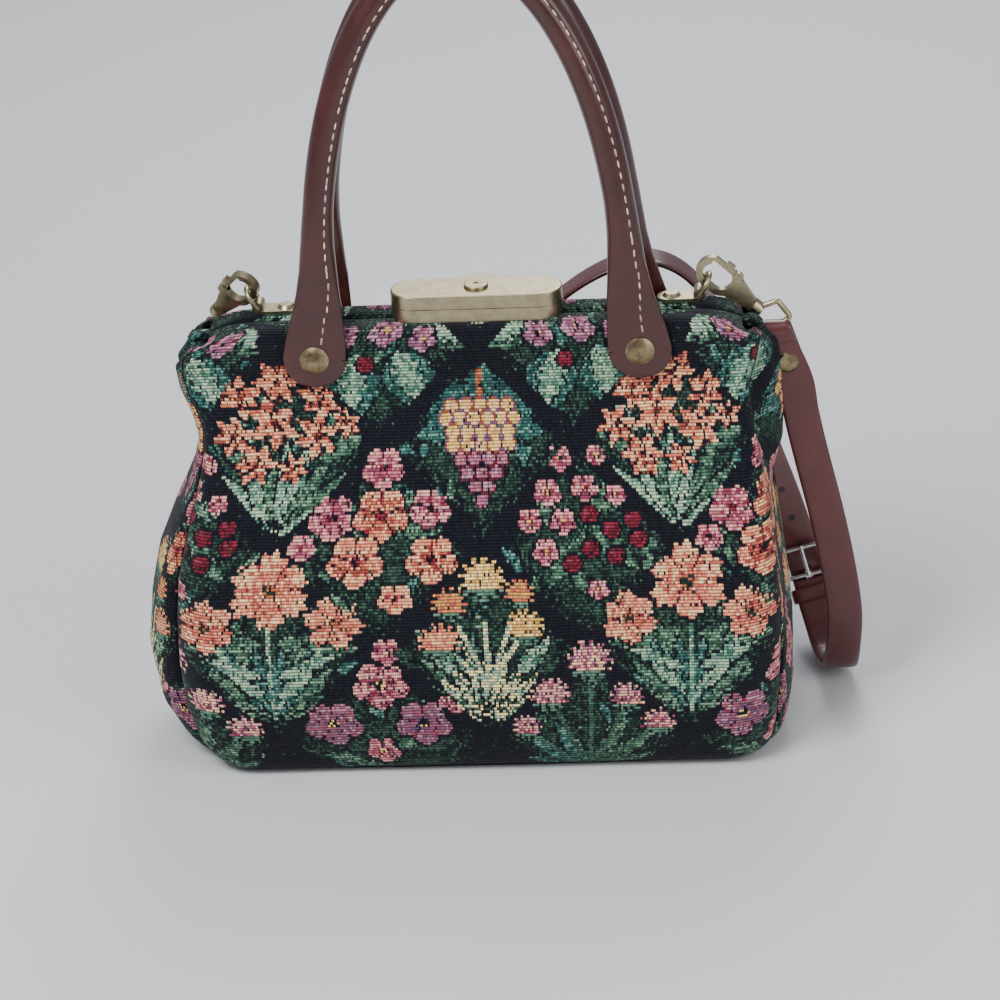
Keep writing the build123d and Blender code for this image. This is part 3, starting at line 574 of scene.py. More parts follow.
# %% Plants
def foliage(loom, x, y):
    """Small crossed leaves that fill the ground of a diamond."""
    for _ in range(34):
        dx, dy = loom.random.uniform(-32, 32), loom.random.uniform(-34, 26)
        angle = dx * 1.6 + loom.random.uniform(-35, 35)
        length, width = loom.random.uniform(8, 15), loom.random.uniform(3.5, 6)
        yarns = (DEEP, GREEN, TEAL, DEEP)[loom.random.integers(4)]
        leaf(loom, x + dx, y + dy, angle, length, width, yarns, jag=0.2)


def lilies(loom, x, y):
    for angle, length in (
        (-62, 30), (-46, 38), (-30, 40), (-15, 44), (0, 42), (14, 44), (29, 41), (45, 37), (60, 30),
    ):
        leaf(loom, x, y - 37, angle, length, 6.5, GREEN if abs(angle) % 2 else MINT)
    for side in (-1, 1):
        leaf(loom, x + side * 14, y - 6, side * 62, 24, 8, GREEN, jag=0.2)
        leaf(loom, x + side * 14, y + 2, side * 40, 24, 7, MINT, jag=0.2)
    leaf(loom, x - 4, y + 26, -5, 14, 5, GREEN)
    leaf(loom, x + 12, y + 22, 20, 14, 5, GREEN)
    for dx, dy, r, turn in (
        (-15, 21, 10, 8), (1, 27, 10, 30), (17, 19, 9, 0), (-23, 5, 9, 20), (-5, 10, 11, 0),
        (13, 4, 10, 14), (-13, -7, 9.5, 30), (26, 9, 6.5, 10), (3, -9, 7, 45),
    ):
        star_flower(loom, x + dx, y + dy, r, 6, CORAL, turn)


def grapes(loom, x, y):
    for side in (-1, 1):
        for angle, length, width in ((70, 31, 17), (105, 26, 15), (38, 26, 15), (135, 20, 11)):
            leaf(loom, x + side * 3, y + 9, side * angle, length, width, TEAL, jag=0.3)
    leaf(loom, x, y + 16, 8, 18, 15, TEAL, jag=0.3)
    loom.fill((np.abs(loom.a - x) < 1.0) & (np.abs(loom.b - y - 22) < 9), RUST)
    for row in range(8):
        count = (5, 6, 5, 5, 4, 3, 2, 1)[row]
        for k in range(count):
            gx, gy = x + (k - (count - 1) / 2) * 6.0, y + 15 - row * 5.6
            far = loom.far(gx, gy)
            loom.fill(far < 3.5, [RUST[1], MAUVE[2]] if row < 4 else [WINE[0], INK[1]])
            skin = [GOLD[0], GOLD[2], CORAL[1]] if row < 4 else [MAUVE[0], MAUVE[1], ROSE[2]]
            loom.fill(far < 2.6, skin)


def primroses(loom, x, y):
    for angle in (-80, -50, -20, 15, 48, 82, 120, 160, 200, 240):
        leaf(loom, x, y - 4, angle, 27, 11, GREEN if angle % 20 else DEEP, jag=0.2)
    for dx, dy, r, yarns in (
        (0, 25, 9, ROSE), (-20, 5, 10, ROSE), (20, 8, 9, ROSE), (0, 6, 11.5, CORAL),
        (-31, -7, 6, ROSE), (-9, -13, 11.5, CORAL), (21, -13, 10.5, CORAL), (7, -29, 7, PEACH),
    ):
        round_flower(loom, x + dx, y + dy, r, 5, yarns, [WINE[1], INK[0]], turn=90)


def strawberries(loom, x, y):
    for angle in range(0, 360, 40):
        leaf(loom, x, y, angle + 10, 30, 11, GREEN if angle % 80 else DEEP, jag=0.25)
    for dx, dy, r in (
        (-8, 27, 5.5), (-14, 13, 6), (2, 15, 6), (-22, 2, 5.5), (-8, 1, 5.5), (8, 28, 4.5), (-16, -11, 5.5),
        (15, 12, 4.5), (5, -27, 4.5),
    ):
        round_flower(loom, x + dx, y + dy, r, 5, ROSE, [GOLD[2], WINE[0]], turn=90)
    for dx, dy in ((3, 4), (12, -2), (21, 2), (3, -10), (13, -13), (-5, -16), (23, -6)):
        berry(loom, x + dx, y + dy, 3.6)


def poppies(loom, x, y):
    for side in (-1, 1):
        leaf(loom, x + side * 3, y + 2, side * 96, 33, 12, GREEN, jag=0.25)
        leaf(loom, x + side * 3, y - 8, side * 70, 30, 10, GREEN, jag=0.25)
        for angle, length in ((66, 30), (46, 34), (27, 36), (9, 34)):
            leaf(loom, x, y - 33, side * angle, length, 9, TEAL if angle % 2 else GREEN, jag=0.3)
        leaf(loom, x + side * 3, y - 14, side * 66, 25, 7, MINT, jag=0.3)
        leaf(loom, x + side * 2, y - 24, side * 48, 20, 6, MINT, jag=0.3)
        stem(loom, x, y - 30, side * 34, 40, MINT)
    stem(loom, x, y - 34, 0, 44, MINT)
    for dx, dy, r, turn in ((-25, 9, 11.5, 20), (25, 10, 11.5, 50), (0, 24, 16, 0)):
        round_flower(loom, x + dx, y + dy, r, 6, PEACH, [DEEP[0], RUST[0]], turn=turn, ragged=0.07)
        far = np.hypot(loom.a - x - dx, loom.b - y - dy)
        ring = (far > r * 0.55) & (far < r * 0.68)
        loom.fill(ring, CORAL, share=0.55)


def thistles(loom, x, y):
    pale = [MINT[3], GOLD[1], MINT[1], GREEN[0]]
    orange = [RUST[2], GOLD[2], PEACH[3], RUST[0]]
    for angle in (-58, -42, -28, -14, 0, 13, 27, 41, 57):
        leaf(loom, x, y - 37, angle, 40 - abs(angle) * 0.18, 5.5, pale, jag=0.2)
    for side in (-1, 1):
        leaf(loom, x + side * 12, y - 14, side * 40, 22, 8, MINT, jag=0.3)
    for dx, dy, r, yarns in (
        (-18, 1, 8.5, PEACH), (16, 7, 8, GOLD), (-14, 17, 7, orange), (14, 21, 6.5, orange),
        (-1, 27, 9.5, GOLD),
    ):
        stem(loom, x, y - 20, np.degrees(np.arctan2(dx, dy + 20)), 30, [MINT[1], GOLD[1]])
        tuft(loom, x + dx, y + dy, r, yarns, [RUST[2], yarns[2]])


def violets(loom, x, y):
    for angle, length in ((-75, 30), (-48, 34), (-20, 34), (8, 34), (34, 34), (60, 32), (84, 28)):
        leaf(loom, x, y - 26, angle, length, 9, GREEN if angle % 4 else DEEP, jag=0.2)
    for dx, dy, r, yarns in (
        (0, 16, 11, ROSE), (-20, -2, 11.5, MAUVE), (15, -3, 11, MAUVE), (3, 31, 6, ROSE),
        (-3, -17, 7, ROSE), (28, 8, 6.5, ROSE), (-31, 9, 5.5, MAUVE),
    ):
        round_flower(loom, x + dx, y + dy, r, 5, yarns, [GOLD[0], INK[0]], turn=90)


def knapweeds(loom, x, y):
    for angle, length in ((-72, 30), (-52, 36), (-28, 33), (26, 34), (50, 36), (70, 30)):
        leaf(loom, x, y - 32, angle, length, 8, GREEN if angle % 4 else TEAL, jag=0.25)
    for dx, dy, r in ((0, 25, 9.5), (-17, 10, 8.5), (15, 8, 7.5), (-27, -6, 6.5), (28, -5, 7.5)):
        stem(loom, x, y - 34, np.degrees(np.arctan2(dx, dy + 34)), np.hypot(dx, dy + 34), GREEN[:2])
        tuft(loom, x + dx, y + dy, r, [ROSE[2], PEACH[1], ROSE[1], ROSE[3]], [ROSE[1], MAUVE[0]])


def vine_leaves(loom, x, y):
    for dx, dy, angle, size in ((-7, -1, -168, 31), (9, 0, 160, 30), (-20, 12, -120, 22), (22, 12, 120, 22)):
        leaf(loom, x + dx, y + dy, angle, size, size * 0.72, TEAL if dx % 2 else GREEN, jag=0.12)
        leaf(loom, x + dx, y + dy, angle, size * 0.9, size * 0.4, MINT, jag=0.3)
    for dx, dy, r in ((-15, 6, 6.5), (3, 9, 7.5), (19, 5, 6)):
        round_flower(loom, x + dx, y + dy, r, 5, MAUVE, [GOLD[2], INK[0]], turn=90)
    berry(loom, x - 4, y - 6, 3.4)

print("plants ready")

# %% [markdown]
# The lattice itself: rows of diamonds, each row shifted by half a diamond from the last.
# Green dust and small leaves fill each diamond, and the bands between them stay dark.

# %% The lattice
HALF_A, HALF_B = 41.6, 43.0
LOW_ROW = 19.0
RISE = {
    violets: 13, knapweeds: 13, thistles: 4, poppies: 4.5, primroses: 10, strawberries: 10, grapes: 2,
    lilies: 2, vine_leaves: -1,
}
ROWS = [
    [violets, knapweeds], [thistles, poppies], [primroses, strawberries], [grapes, lilies],
    [vine_leaves, vine_leaves], [thistles, poppies],
]


def weave_pattern(loom, shift=0.0):
    for row, (even, odd) in enumerate(ROWS):
        b = LOW_ROW + row * HALF_B
        offset = -HALF_A if row % 2 == 0 else 0.0
        for k in range(-3, 4):
            x = offset + k * 2 * HALF_A + shift
            plant = even if k % 2 == 0 else odd
            if x < loom.a.min() - HALF_A or x > loom.a.max() + HALF_A:
                continue
            spread = np.abs(loom.a - x) / HALF_A + np.abs(loom.b - b) / HALF_B
            dust = loom.random.random(len(loom.a)) < np.clip(3.6 - 4.1 * spread, 0, 0.92)
            loom.fill(dust, DEEP + GREEN[:1], [0.36, 0.24, 0.16, 0.14, 0.10])
            loom.spread = spread
            foliage(loom, x, b)
            plant(loom, x, b + RISE[plant])
    loom.fill(loom.random.random(len(loom.a)) < 0.04, [INK[0], INK[1], DEEP[1]])
    loom.shade = loom.shade * (0.82 + 0.36 * loom.random.random((len(loom.a), 1)))
    return loom.shade


def colour_cells(bm, measure_a, measure_b, seed, shift=0.0):
    """Paints every face of a wrapped grid from its place on the flat cloth."""
    a = np.array([np.mean([measure_a[v.index] for v in f.verts]) for f in bm.faces])
    b = np.array([np.mean([measure_b[v.index] for v in f.verts]) for f in bm.faces])
    shades = weave_pattern(Loom(a, b, seed), shift)
    layer = bm.loops.layers.float_color.new("yarn")
    for face, shade in zip(bm.faces, shades):
        for loop in face.loops:
            loop[layer] = (*shade, 1.0)
    return len(shades)

print("rows of plants", len(ROWS))

# %% [markdown]
# The body is cloth over a frame, so it swells at the belly, leans in towards the frame and
# puffs out over the rails. Side lines give its depth and its width at every height.

# %% Shape of the body
DEPTH_LINE = [
    (46.5, 0.9), (51.5, 5), (54.5, 13), (56.5, 24), (57.8, 36), (58.0, 48), (57.2, 60), (55.0, 72),
    (51.8, 84), (47.2, 96), (41.5, 107), (35.4, 118), (30.2, 128), (25.8, 137), (21.6, 146),
    (18.0, 154.5), (15.9, 162), (15.3, 169), (15.3, 176), (15.1, 182), (13.7, 186.4), (10.6, 188.1),
    (6.6, 188.2), (2.9, 188.1), (1.3, 186.6), (1.0, 181),
]
WIDTH_HEIGHTS = [0, 6, 14, 30, 50, 70, 88, 102, 115, 128, 138, 148, 158, 168, 178, 184, 189]
WIDTH_RIGHT = [112, 116, 118, 120, 121, 121.5, 120.5, 119, 117.5, 115, 113, 111.5, 111, 114, 116, 115, 108]
WIDTH_LEFT = [115, 121, 126, 130, 131.5, 131, 129, 125.5, 121.5, 118, 116, 116, 120.5, 123, 122.5, 119, 110]
CLOTH = 1.5

line = along(DEPTH_LINE, np.linspace(0, 1, 801))
steps = np.hypot(*np.diff(line, axis=0).T)
LINE_LENGTH = float(steps.sum())
line_at = np.concatenate([[0], np.cumsum(steps)]) / LINE_LENGTH


def side_line(v):
    """Depth and height for v from 0 to 1 by length along the cloth."""
    return np.interp(v, line_at, line[:, 0]), np.interp(v, line_at, line[:, 1])


def half_width(z, end):
    return np.interp(z, WIDTH_HEIGHTS, WIDTH_RIGHT if end > 0 else WIDTH_LEFT)


def edge_round(z):
    """How far the panel's edge rolls back towards the gusset."""
    return np.interp(z, [0, 20, 60, 110, 150, 175, 189], [16, 20, 20, 12, 6, 5, 4])


def sag(x, z, seed):
    """Slow hollows and swells of stuffed cloth, about a millimetre deep."""
    out = np.empty(len(x))
    for index, (px, pz) in enumerate(zip(x, z)):
        spot = Vector((px / 46, pz / 40, seed))
        out[index] = noise.noise(spot) * 1.5 + noise.noise(spot * 2.7) * 0.6
    return out


print("cloth runs", round(LINE_LENGTH, 1), "mm from the foot over the rail")

# %% [markdown]
# Both main panels are wrapped from the foot of the bag up and over a steel rail, in one piece
# each. The front one crosses the hinge.

# %% Front and rear panels
PANEL_FLAT = 240.0        # the cut width of a main panel


def panel_edge(u, z, inset=0.0, turned=1):
    """Across a panel: x, half width, nearness to the edge, and how far the edge rolls back."""
    across = (u - 0.5) * 2 * turned
    wide = np.where(across > 0, half_width(z, 1), half_width(z, -1)) - inset
    x = across * wide
    rolled = edge_round(z)
    near_edge = np.clip((np.abs(x) - (wide - rolled)) / rolled, 0, 1)
    return x, wide, near_edge, rolled * (1 - np.sqrt(np.maximum(1 - near_edge ** 2, 0)))


def panel_place(side):
    """Places a panel; side is -1 for the front and 1 for the back."""
    def place(u, v):
        depth, z = side_line(v)
        x, wide, near_edge, rolled_back = panel_edge(u, z, turned=-side)
        in_hand = np.clip(np.minimum(z / 14, (178 - z) / 22), 0, 1)
        soft = sag(x, z, 3.0 if side < 0 else 9.0) * in_hand
        hang = 2.4 * np.exp(-((z - 146) / 12) ** 2) * np.cos(x / 21.0) ** 2
        depth = depth + (soft - hang * 0.55) * (1 - near_edge)
        depth = depth - rolled_back * (z < 186.5)
        shoulder = np.clip((np.abs(x) - (wide - 18)) / 18, 0, 1)
        drop = shoulder ** 2 * np.interp(z, [168, 178, 188.3], [0, 1, 5])
        return np.stack([x, side * depth, z - drop], axis=1)
    return place


def woven_piece(name, bm, cells):
    """Makes a painted grid into a thick piece of tapestry."""
    bmesh.ops.recalc_face_normals(bm, faces=bm.faces)
    piece = finish_piece(name, bm, TAPESTRY)
    thicken(piece, CLOTH)
    print(name, "cells", cells)
    return piece


def make_panel(name, side, seed):
    rows = round(LINE_LENGTH / RIB_PITCH)
    columns = round((PANEL_FLAT + 2) / CELL_A)

    def flat(u, v):
        return (u - 0.5) * PANEL_FLAT, v * rows * RIB_PITCH

    bm, u, v = wrapped(columns, rows, panel_place(side), flat)
    return woven_piece(name, bm, colour_cells(bm, flat(u, v)[0], v * LINE_LENGTH, seed))


front_cloth = make_panel("front_cloth", -1, 21)
rear_cloth = make_panel("rear_cloth", 1, 22)
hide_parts("front_panel", "front_panel_top")
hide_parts("rear_panel")
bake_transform(front_cloth)
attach(rear_cloth, "root")

# %% [markdown]
# A gusset closes each side between the two panels. It shares their side lines, so the seams
# meet. It swells at the belly and folds over itself under the frame, where the bag gives.

# %% Gussets
BULGE_HEIGHTS = [0, 10, 25, 50, 70, 90, 104, 112, 126, 140, 152, 162, 171, 179, 188]
BULGE_RIGHT = [118, 123.5, 126, 125.5, 123, 119.5, 117, 119.5, 124.5, 126.5, 126.5, 125.5, 124, 117, 101]
BULGE_LEFT = [124, 135, 144.5, 148, 145, 139.5, 133.5, 129, 122.5, 118.5, 122, 126.5, 127.5, 120, 103]
GUSSET_TOP = 0.885        # share of the panel's length that the gusset runs up


def gusset_place(end, inset=0.0, low=0.0, top=GUSSET_TOP):
    def place(u, v):
        depth, z = side_line(low + v * (top - low))
        wide = half_width(z, end) - inset
        seam = depth - edge_round(z) - inset * 0.6
        bulge = np.interp(z, BULGE_HEIGHTS, BULGE_RIGHT if end > 0 else BULGE_LEFT) - inset
        turn_about = (u - 0.5) * 2
        y = np.sin(turn_about * pi / 2) * (seam + 1.2)
        swell = np.cos(turn_about * pi / 2) ** 0.7
        upper = np.clip((z - 100) / 14, 0, 1)
        if end > 0:
            lean = np.clip((turn_about + 0.75) / 1.0, 0, 1)
            swell = swell * (1 - upper * (1 - lean * lean * (3 - 2 * lean)))
        x = wide + (bulge - wide) * swell
        fold = 3.2 * np.exp(-((turn_about - 0.05) / 0.2) ** 2) * np.clip((z - 134) / 16, 0, 1) * (z < 182)
        x = x - fold * (1 if end < 0 else 0.6)
        x = x + sag(y * 1.7, z, 5.0 + end) * 0.8 * np.cos(turn_about * pi / 2) * np.clip(z / 14, 0, 1)
        drop = np.interp(z, [168, 178, 188.3], [0, 1, 5])
        return np.stack([end * x, y, z - drop], axis=1)
    return place


def make_gusset(name, end, seed):
    length = LINE_LENGTH * GUSSET_TOP
    rows = round(length / RIB_PITCH)
    columns = 110

    def flat(u, v):
        depth, z = side_line(v * GUSSET_TOP)
        return (u - 0.5) * 2 * (depth - edge_round(z) + 9), v * rows * RIB_PITCH

    bm, u, v = wrapped(columns, rows, gusset_place(end), flat)
    cells = colour_cells(bm, flat(u, v)[0], v * length, seed, shift=HALF_A * 0.4 * end)
    return woven_piece(name, bm, cells)


# Two points of a slant line across the gusset. Nothing is bent along it: the gussets and their
# linings keep the shape they are wrapped to.
GUSSET_BEND = ((0, 0, 0.15975), (0, -0.01104, 0.16660))
for end, label in ((-1, "left"), (1, "right")):
    piece = make_gusset(f"{label}_gusset_cloth", end, 31 + end)
    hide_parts(f"{label}_gusset")
    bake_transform(piece)

# %% [markdown]
# Underneath is a plain panel of the same cloth. Inside, a cotton lining follows each wall a
# little way in, and another piece covers the board in the floor.

# %% Base and lining
def pad_place(half_x, half_y, z):
    """A rounded rectangle lying flat."""
    def place(u, v):
        p, q = (u - 0.5) * 2, (v - 0.5) * 2
        x = p * np.sqrt(1 - 0.22 * q ** 4) * half_x
        y = q * np.sqrt(1 - 0.42 * p ** 6) * half_y
        return np.stack([x, y, np.full(len(u), z)], axis=1)
    return place


BASE_FLAT, BASE_RIBS = 236.0, 66
bm, u, v = wrapped(
    150, BASE_RIBS, pad_place(116, 46, 1.6), lambda u, v: (u * BASE_FLAT, v * BASE_RIBS * RIB_PITCH)
)
colour_cells(bm, (u - 0.5) * BASE_FLAT, v * 90, 41)
base_cloth = finish_piece("base_cloth", bm, TAPESTRY)
thicken(base_cloth, CLOTH)
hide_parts("base_panel")
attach(base_cloth, "root")

LINING_LOW, LINING_TOP = 0.034, 0.71   # shares of the side line that the lining covers
LINING_INSET, LINING_THICK = 3.0, 0.7


def lining_panel_place(side):
    def place(u, v):
        depth, z = side_line(LINING_LOW + v * (LINING_TOP - LINING_LOW))
        x, _, _, rolled_back = panel_edge(u, z, LINING_INSET)
        depth = depth - 3.6 - rolled_back * 0.93
        return np.stack([x, side * depth, z + 1.0], axis=1)
    return place


def make_lining(name, place, columns, rows, node, flat, bend=None):
    bm, u, v = wrapped(columns, rows, place, lambda u, v: (u * flat[0] * 1000, v * flat[1] * 1000))
    bmesh.ops.recalc_face_normals(bm, faces=bm.faces)
    piece = finish_piece(name, bm, LINING)
    thicken(piece, LINING_THICK, offset=0)
    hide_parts(node)
    if bend is None:
        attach(piece, "root")
    else:
        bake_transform(piece)


lining_length = LINE_LENGTH * (LINING_TOP - LINING_LOW) * MM
make_lining("front_lining", lining_panel_place(-1), 80, 50, "lining_front", (0.234, lining_length),
            ((0, 0, 0.1215), (0, 0, 0.1695)))
make_lining("rear_lining", lining_panel_place(1), 80, 50, "lining_rear", (0.234, lining_length))
for end, label in ((-1, "left"), (1, "right")):
    make_lining(f"{label}_lining", gusset_place(end, LINING_INSET, LINING_LOW, LINING_TOP), 40, 50,
                f"lining_{label}", (0.090, lining_length), GUSSET_BEND)
make_lining("floor_lining", pad_place(112, 42, 5.3), 60, 30, "lining_floor", (0.224, 0.084))

# %% [markdown]
# Each handle is one piece of leather: flat and broad at its riveted feet, rolled round a cord
# along the arch, with its seam sunk into a shallow groove on the outer side.

# %% Handles
ARCH_HALF, ARCH_FOOT, ARCH_RISE = 63.0, 208.0, 140.0
FOLD_Y, FOLD_Z, LEAN = 17.0, 198.4, 3.5
FOOT_HEIGHTS = [164, 166, 169, 173, 177, 185, 195, 205, 215, 228, 242]
FOOT_HALF = [0.05, 7.0, 10.4, 12.5, 13.1, 12.4, 10.7, 9.1, 7.9, 6.9, 6.35]
FOOT_THICK = [0.6, 1.2, 1.45, 1.5, 1.5, 1.55, 1.75, 3.4, 5.1, 6.0, 6.3]
SEAM_SIDE = 0.55          # how far round the roll the seam lies, towards +X
STITCH_FOOT, STITCH_PITCH = 186, 4.8


def handle_stations():
    """The centre line, from the left foot over the arch to the right."""
    rise = 164 + 44 * np.linspace(0, 1, 60) ** 1.15
    angle = np.linspace(pi, 0, 170)[1:-1]
    arch_x, arch_z = ARCH_HALF * np.cos(angle), ARCH_FOOT + ARCH_RISE * np.sin(angle)
    x = np.concatenate([np.full(60, -ARCH_HALF), arch_x, np.full(60, ARCH_HALF)])
    z = np.concatenate([rise, arch_z, rise[::-1]])
    shift = np.interp(z, [177, 200, 215], [4.0, 1.0, 0.0])
    x = x + np.sign(x) * np.where(z < 215, shift, 0)
    return x, z


def handle_sections(side):
    x, z = handle_stations()
    tangent = np.stack([np.gradient(x), np.gradient(z)], axis=1)
    tangent /= np.linalg.norm(tangent, axis=1)[:, None]
    in_plane = np.stack([tangent[:, 1], -tangent[:, 0]], axis=1)
    half = np.interp(z, FOOT_HEIGHTS, FOOT_HALF)
    thick = np.interp(z, FOOT_HEIGHTS, FOOT_THICK)
    lean = np.tan(radians(LEAN)) * np.maximum(z - FOLD_Z, 0)
    y = np.interp(z, [190, 199, 205], [16.95, 17.15, FOLD_Y]) - lean
    return x, side * y, z, in_plane, tangent, half, thick


def make_handle(name, side, nodes):
    x, y, z, in_plane, tangent, half, thick = handle_sections(side)
    stations = len(x)

    def place(u, v):
        at = np.clip(np.rint(v * (stations - 1)).astype(int), 0, stations - 1)
        round_about = u * 2 * pi
        power = np.interp(thick[at], [1.5, 6.0], [0.45, 1.0])
        c, s = np.cos(round_about), np.sin(round_about)
        seam = np.arctan2(1.0, SEAM_SIDE * in_plane[at, 0])
        groove = np.exp(-(((round_about - seam + pi) % (2 * pi) - pi) / 0.14) ** 2)
        groove = groove * 0.45 * np.interp(thick[at], [1.5, 4], [0.35, 1])
        p = rounded(c, power) * half[at]
        q = rounded(s, power) * (thick[at] - groove)
        return np.stack([x[at] + in_plane[at, 0] * p, y[at] + side * q, z[at] + in_plane[at, 1] * p], axis=1)

    bm, u, v = wrapped(56, stations - 1, place, lambda u, v: (u * 40, v * 460))
    rim = bm.verts.layers.float.new("rim")
    for vert, around, along_v in zip(bm.verts, u, v):
        at = min(max(int(round(along_v * (stations - 1))), 0), stations - 1)
        flat_part = max(0.0, 1 - (thick[at] - 1.5) / 2.5)
        vert[rim] = max(0.0, abs(cos(around * 2 * pi)) - 0.93) / 0.07 * flat_part
    bmesh.ops.remove_doubles(bm, verts=bm.verts, dist=0.00001)
    bmesh.ops.recalc_face_normals(bm, faces=bm.faces)
    piece = finish_piece(name, bm, HANDLE_LEATHER)
    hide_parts(*nodes)
    bend_at_feet(piece)


def bend_at_feet(piece):
    """Bakes the piece's placement into its mesh; nothing bends at the fold."""
    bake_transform(piece)


def make_stitches(name, side):
    """Short threads laid end to end in the groove."""
    x, y, z, in_plane, tangent, half, thick = handle_sections(side)
    gap = np.hypot(np.hypot(np.diff(x), np.diff(z)), np.diff(y))
    run = np.concatenate([[0], np.cumsum(gap)])
    bm = bmesh.new()
    first = np.interp(STITCH_FOOT, z[:60], run[:60])
    for spot in np.arange(first, run[-1] - first, STITCH_PITCH):
        at = int(np.argmin(np.abs(run - spot)))
        seam = np.arctan2(1.0, SEAM_SIDE * in_plane[at, 0] * min(1.0, (thick[at] - 1.4) / 3))
        power = np.interp(thick[at], [1.5, 6.0], [0.45, 1.0])
        p = np.sign(cos(seam)) * abs(cos(seam)) ** power * half[at]
        q = abs(sin(seam)) ** power * thick[at] - 0.12
        centre = Vector((x[at] + in_plane[at, 0] * p, y[at] + side * q, z[at] + in_plane[at, 1] * p)) * MM
        way = Vector((tangent[at, 0], 0, tangent[at, 1])).to_track_quat("Z", "Y").to_matrix().to_4x4()
        shape = Matrix.Translation(centre) @ way @ Matrix.Diagonal((0.00042, 0.00042, 0.0017, 1))
        bmesh.ops.create_uvsphere(bm, u_segments=8, v_segments=6, radius=1, matrix=shape)
    piece = finish_piece(name, bm, THREAD)
    bend_at_feet(piece)


for side, label, holder in ((-1, "front", "front_jaw"), (1, "rear", "root")):
    nodes = [f"{label}_handle", f"{label}_handle_foot_left", f"{label}_handle_foot_right"]
    make_handle(f"{label}_handle_skin", side, nodes)
    make_stitches(f"{label}_handle_stitches", side)
print("handles made")

# %% [markdown]
# The shoulder strap is flat leather in two lengths that a buckle joins. Each is a smooth
# ribbon with rounded edges, turned round the bar of its hook's loop and riveted to itself.

# %% Strap
STRAP_HALF, STRAP_HALF_THICK = 7.5, 1.2
BAR_RIGHT, DOWN_RIGHT = (121.47, 8.25, 173.32), (0.571, 0, -0.821)
BAR_LEFT, DOWN_LEFT = (-113.99, 24.94, 172.90), (-0.299, 0.349, -0.888)
FALL = [
    (130, 6.3, 150), (132, 5.2, 136), (135.5, 4, 118), (141, 3.5, 92), (145.5, 4, 66), (148, 6, 42),
    (147, 11, 22), (145.5, 19, 9.5), (143.5, 30, 5), (141, 42, 6.5), (138.5, 51.5, 12),
    (135.6, 58.6, 20.5), (133.6, 62, 29.5),
]
CLIMB = [
    (136.4, 61.6, 14.5), (134.4, 65, 23.5), (132, 66.8, 33), (129.4, 67.2, 44), (126, 65.5, 58),
    (122, 61, 74), (118, 54.5, 90), (114.5, 48, 106), (111, 42.5, 122), (107.5, 38, 138),
    (103.5, 35, 154), (99, 33, 168), (93.5, 32, 180), (85.5, 32, 190), (75.5, 32, 196),
    (64.5, 32, 197), (53, 32, 193.5), (41, 32, 187), (29.5, 32.5, 178), (18.5, 34, 166.5),
    (8.5, 37, 152), (-0.5, 41.5, 135), (-8, 47, 116.5), (-14.5, 54, 97), (-20.5, 61.5, 76),
    (-26, 67, 55), (-32, 70, 36), (-41, 71.5, 21), (-53.5, 72, 12.5), (-67.5, 72, 12.5),
    (-79.5, 71.5, 21), (-88, 70, 36), (-94, 67, 55), (-99, 61.5, 76), (-103.5, 54, 97),
    (-107.5, 46.5, 116.5), (-111, 39, 135), (-113.5, 33, 150),
]
LOOP = [
    (22, 2.45), (12, 2.4), (6, 2.6), (1.5, 2.75), (-1.7, 2.15), (-2.75, 0), (-1.9, -2.0),
    (0.6, -2.7), (4.5, -1.7), (9, -0.5),
]


def width_way(run, angle):
    """The strap's width: level and turned by the angle, then made square to its run."""
    way = Vector((cos(radians(angle)), sin(radians(angle)), 0))
    return (way - run * way.dot(run)).normalized()


def turned_end(bar, down, following, turn_angle, behind_sign):
    """Points round the bar, from the riveted tail to the front."""
    bar, down = Vector(bar), Vector(down)
    first = bar + down * 2.6
    run = (Vector(following) - first).normalized()
    behind = run.cross(width_way(run, turn_angle)).normalized()
    if behind.dot(Vector(behind_sign)) < 0:
        behind = -behind
    return [tuple(bar + run * d + behind * n) for d, n in LOOP]


def make_ribbon(name, points, turns, node, steps):
    t = np.linspace(0, 1, steps + 1)
    line = along(points, t)
    turn_line = np.interp(t * (len(points) - 1), np.arange(len(points)), turns)
    run = np.gradient(line, axis=0)
    run /= np.linalg.norm(run, axis=1)[:, None]
    turned = np.radians(turn_line)
    width = np.stack([np.cos(turned), np.sin(turned), np.zeros(steps + 1)], axis=1)
    width -= run * (width * run).sum(axis=1)[:, None]
    width /= np.linalg.norm(width, axis=1)[:, None]
    facing = np.cross(run, width)
    sides = 28

    def place(u, v):
        at = np.clip(np.rint(v * steps).astype(int), 0, steps)
        c, s = np.cos(u * 2 * pi), np.sin(u * 2 * pi)
        end = np.sqrt(np.clip(np.minimum(v, 1 - v) * steps, 0.02, 1))
        p = rounded(c, 0.3) * STRAP_HALF * (0.4 + 0.6 * end)
        q = rounded(s, 0.55) * STRAP_HALF_THICK * end
        return line[at] + width[at] * p[:, None] + facing[at] * q[:, None]

    bm, u, v = wrapped(sides, steps, place, lambda u, v: (u * 30, v * 500))
    rim = bm.verts.layers.float.new("rim")
    for vert, around in zip(bm.verts, u):
        vert[rim] = min(1.0, max(0.0, abs(cos(around * 2 * pi)) - 0.86) / 0.1)
    bmesh.ops.remove_doubles(bm, verts=bm.verts, dist=0.000005)
    rims = [edge for edge in bm.edges if edge.is_boundary]
    if rims:
        bmesh.ops.holes_fill(bm, edges=rims, sides=0)
    bmesh.ops.recalc_face_normals(bm, faces=bm.faces)
    piece = finish_piece(name, bm, STRAP_LEATHER)
    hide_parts(node)
    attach(piece, "root")


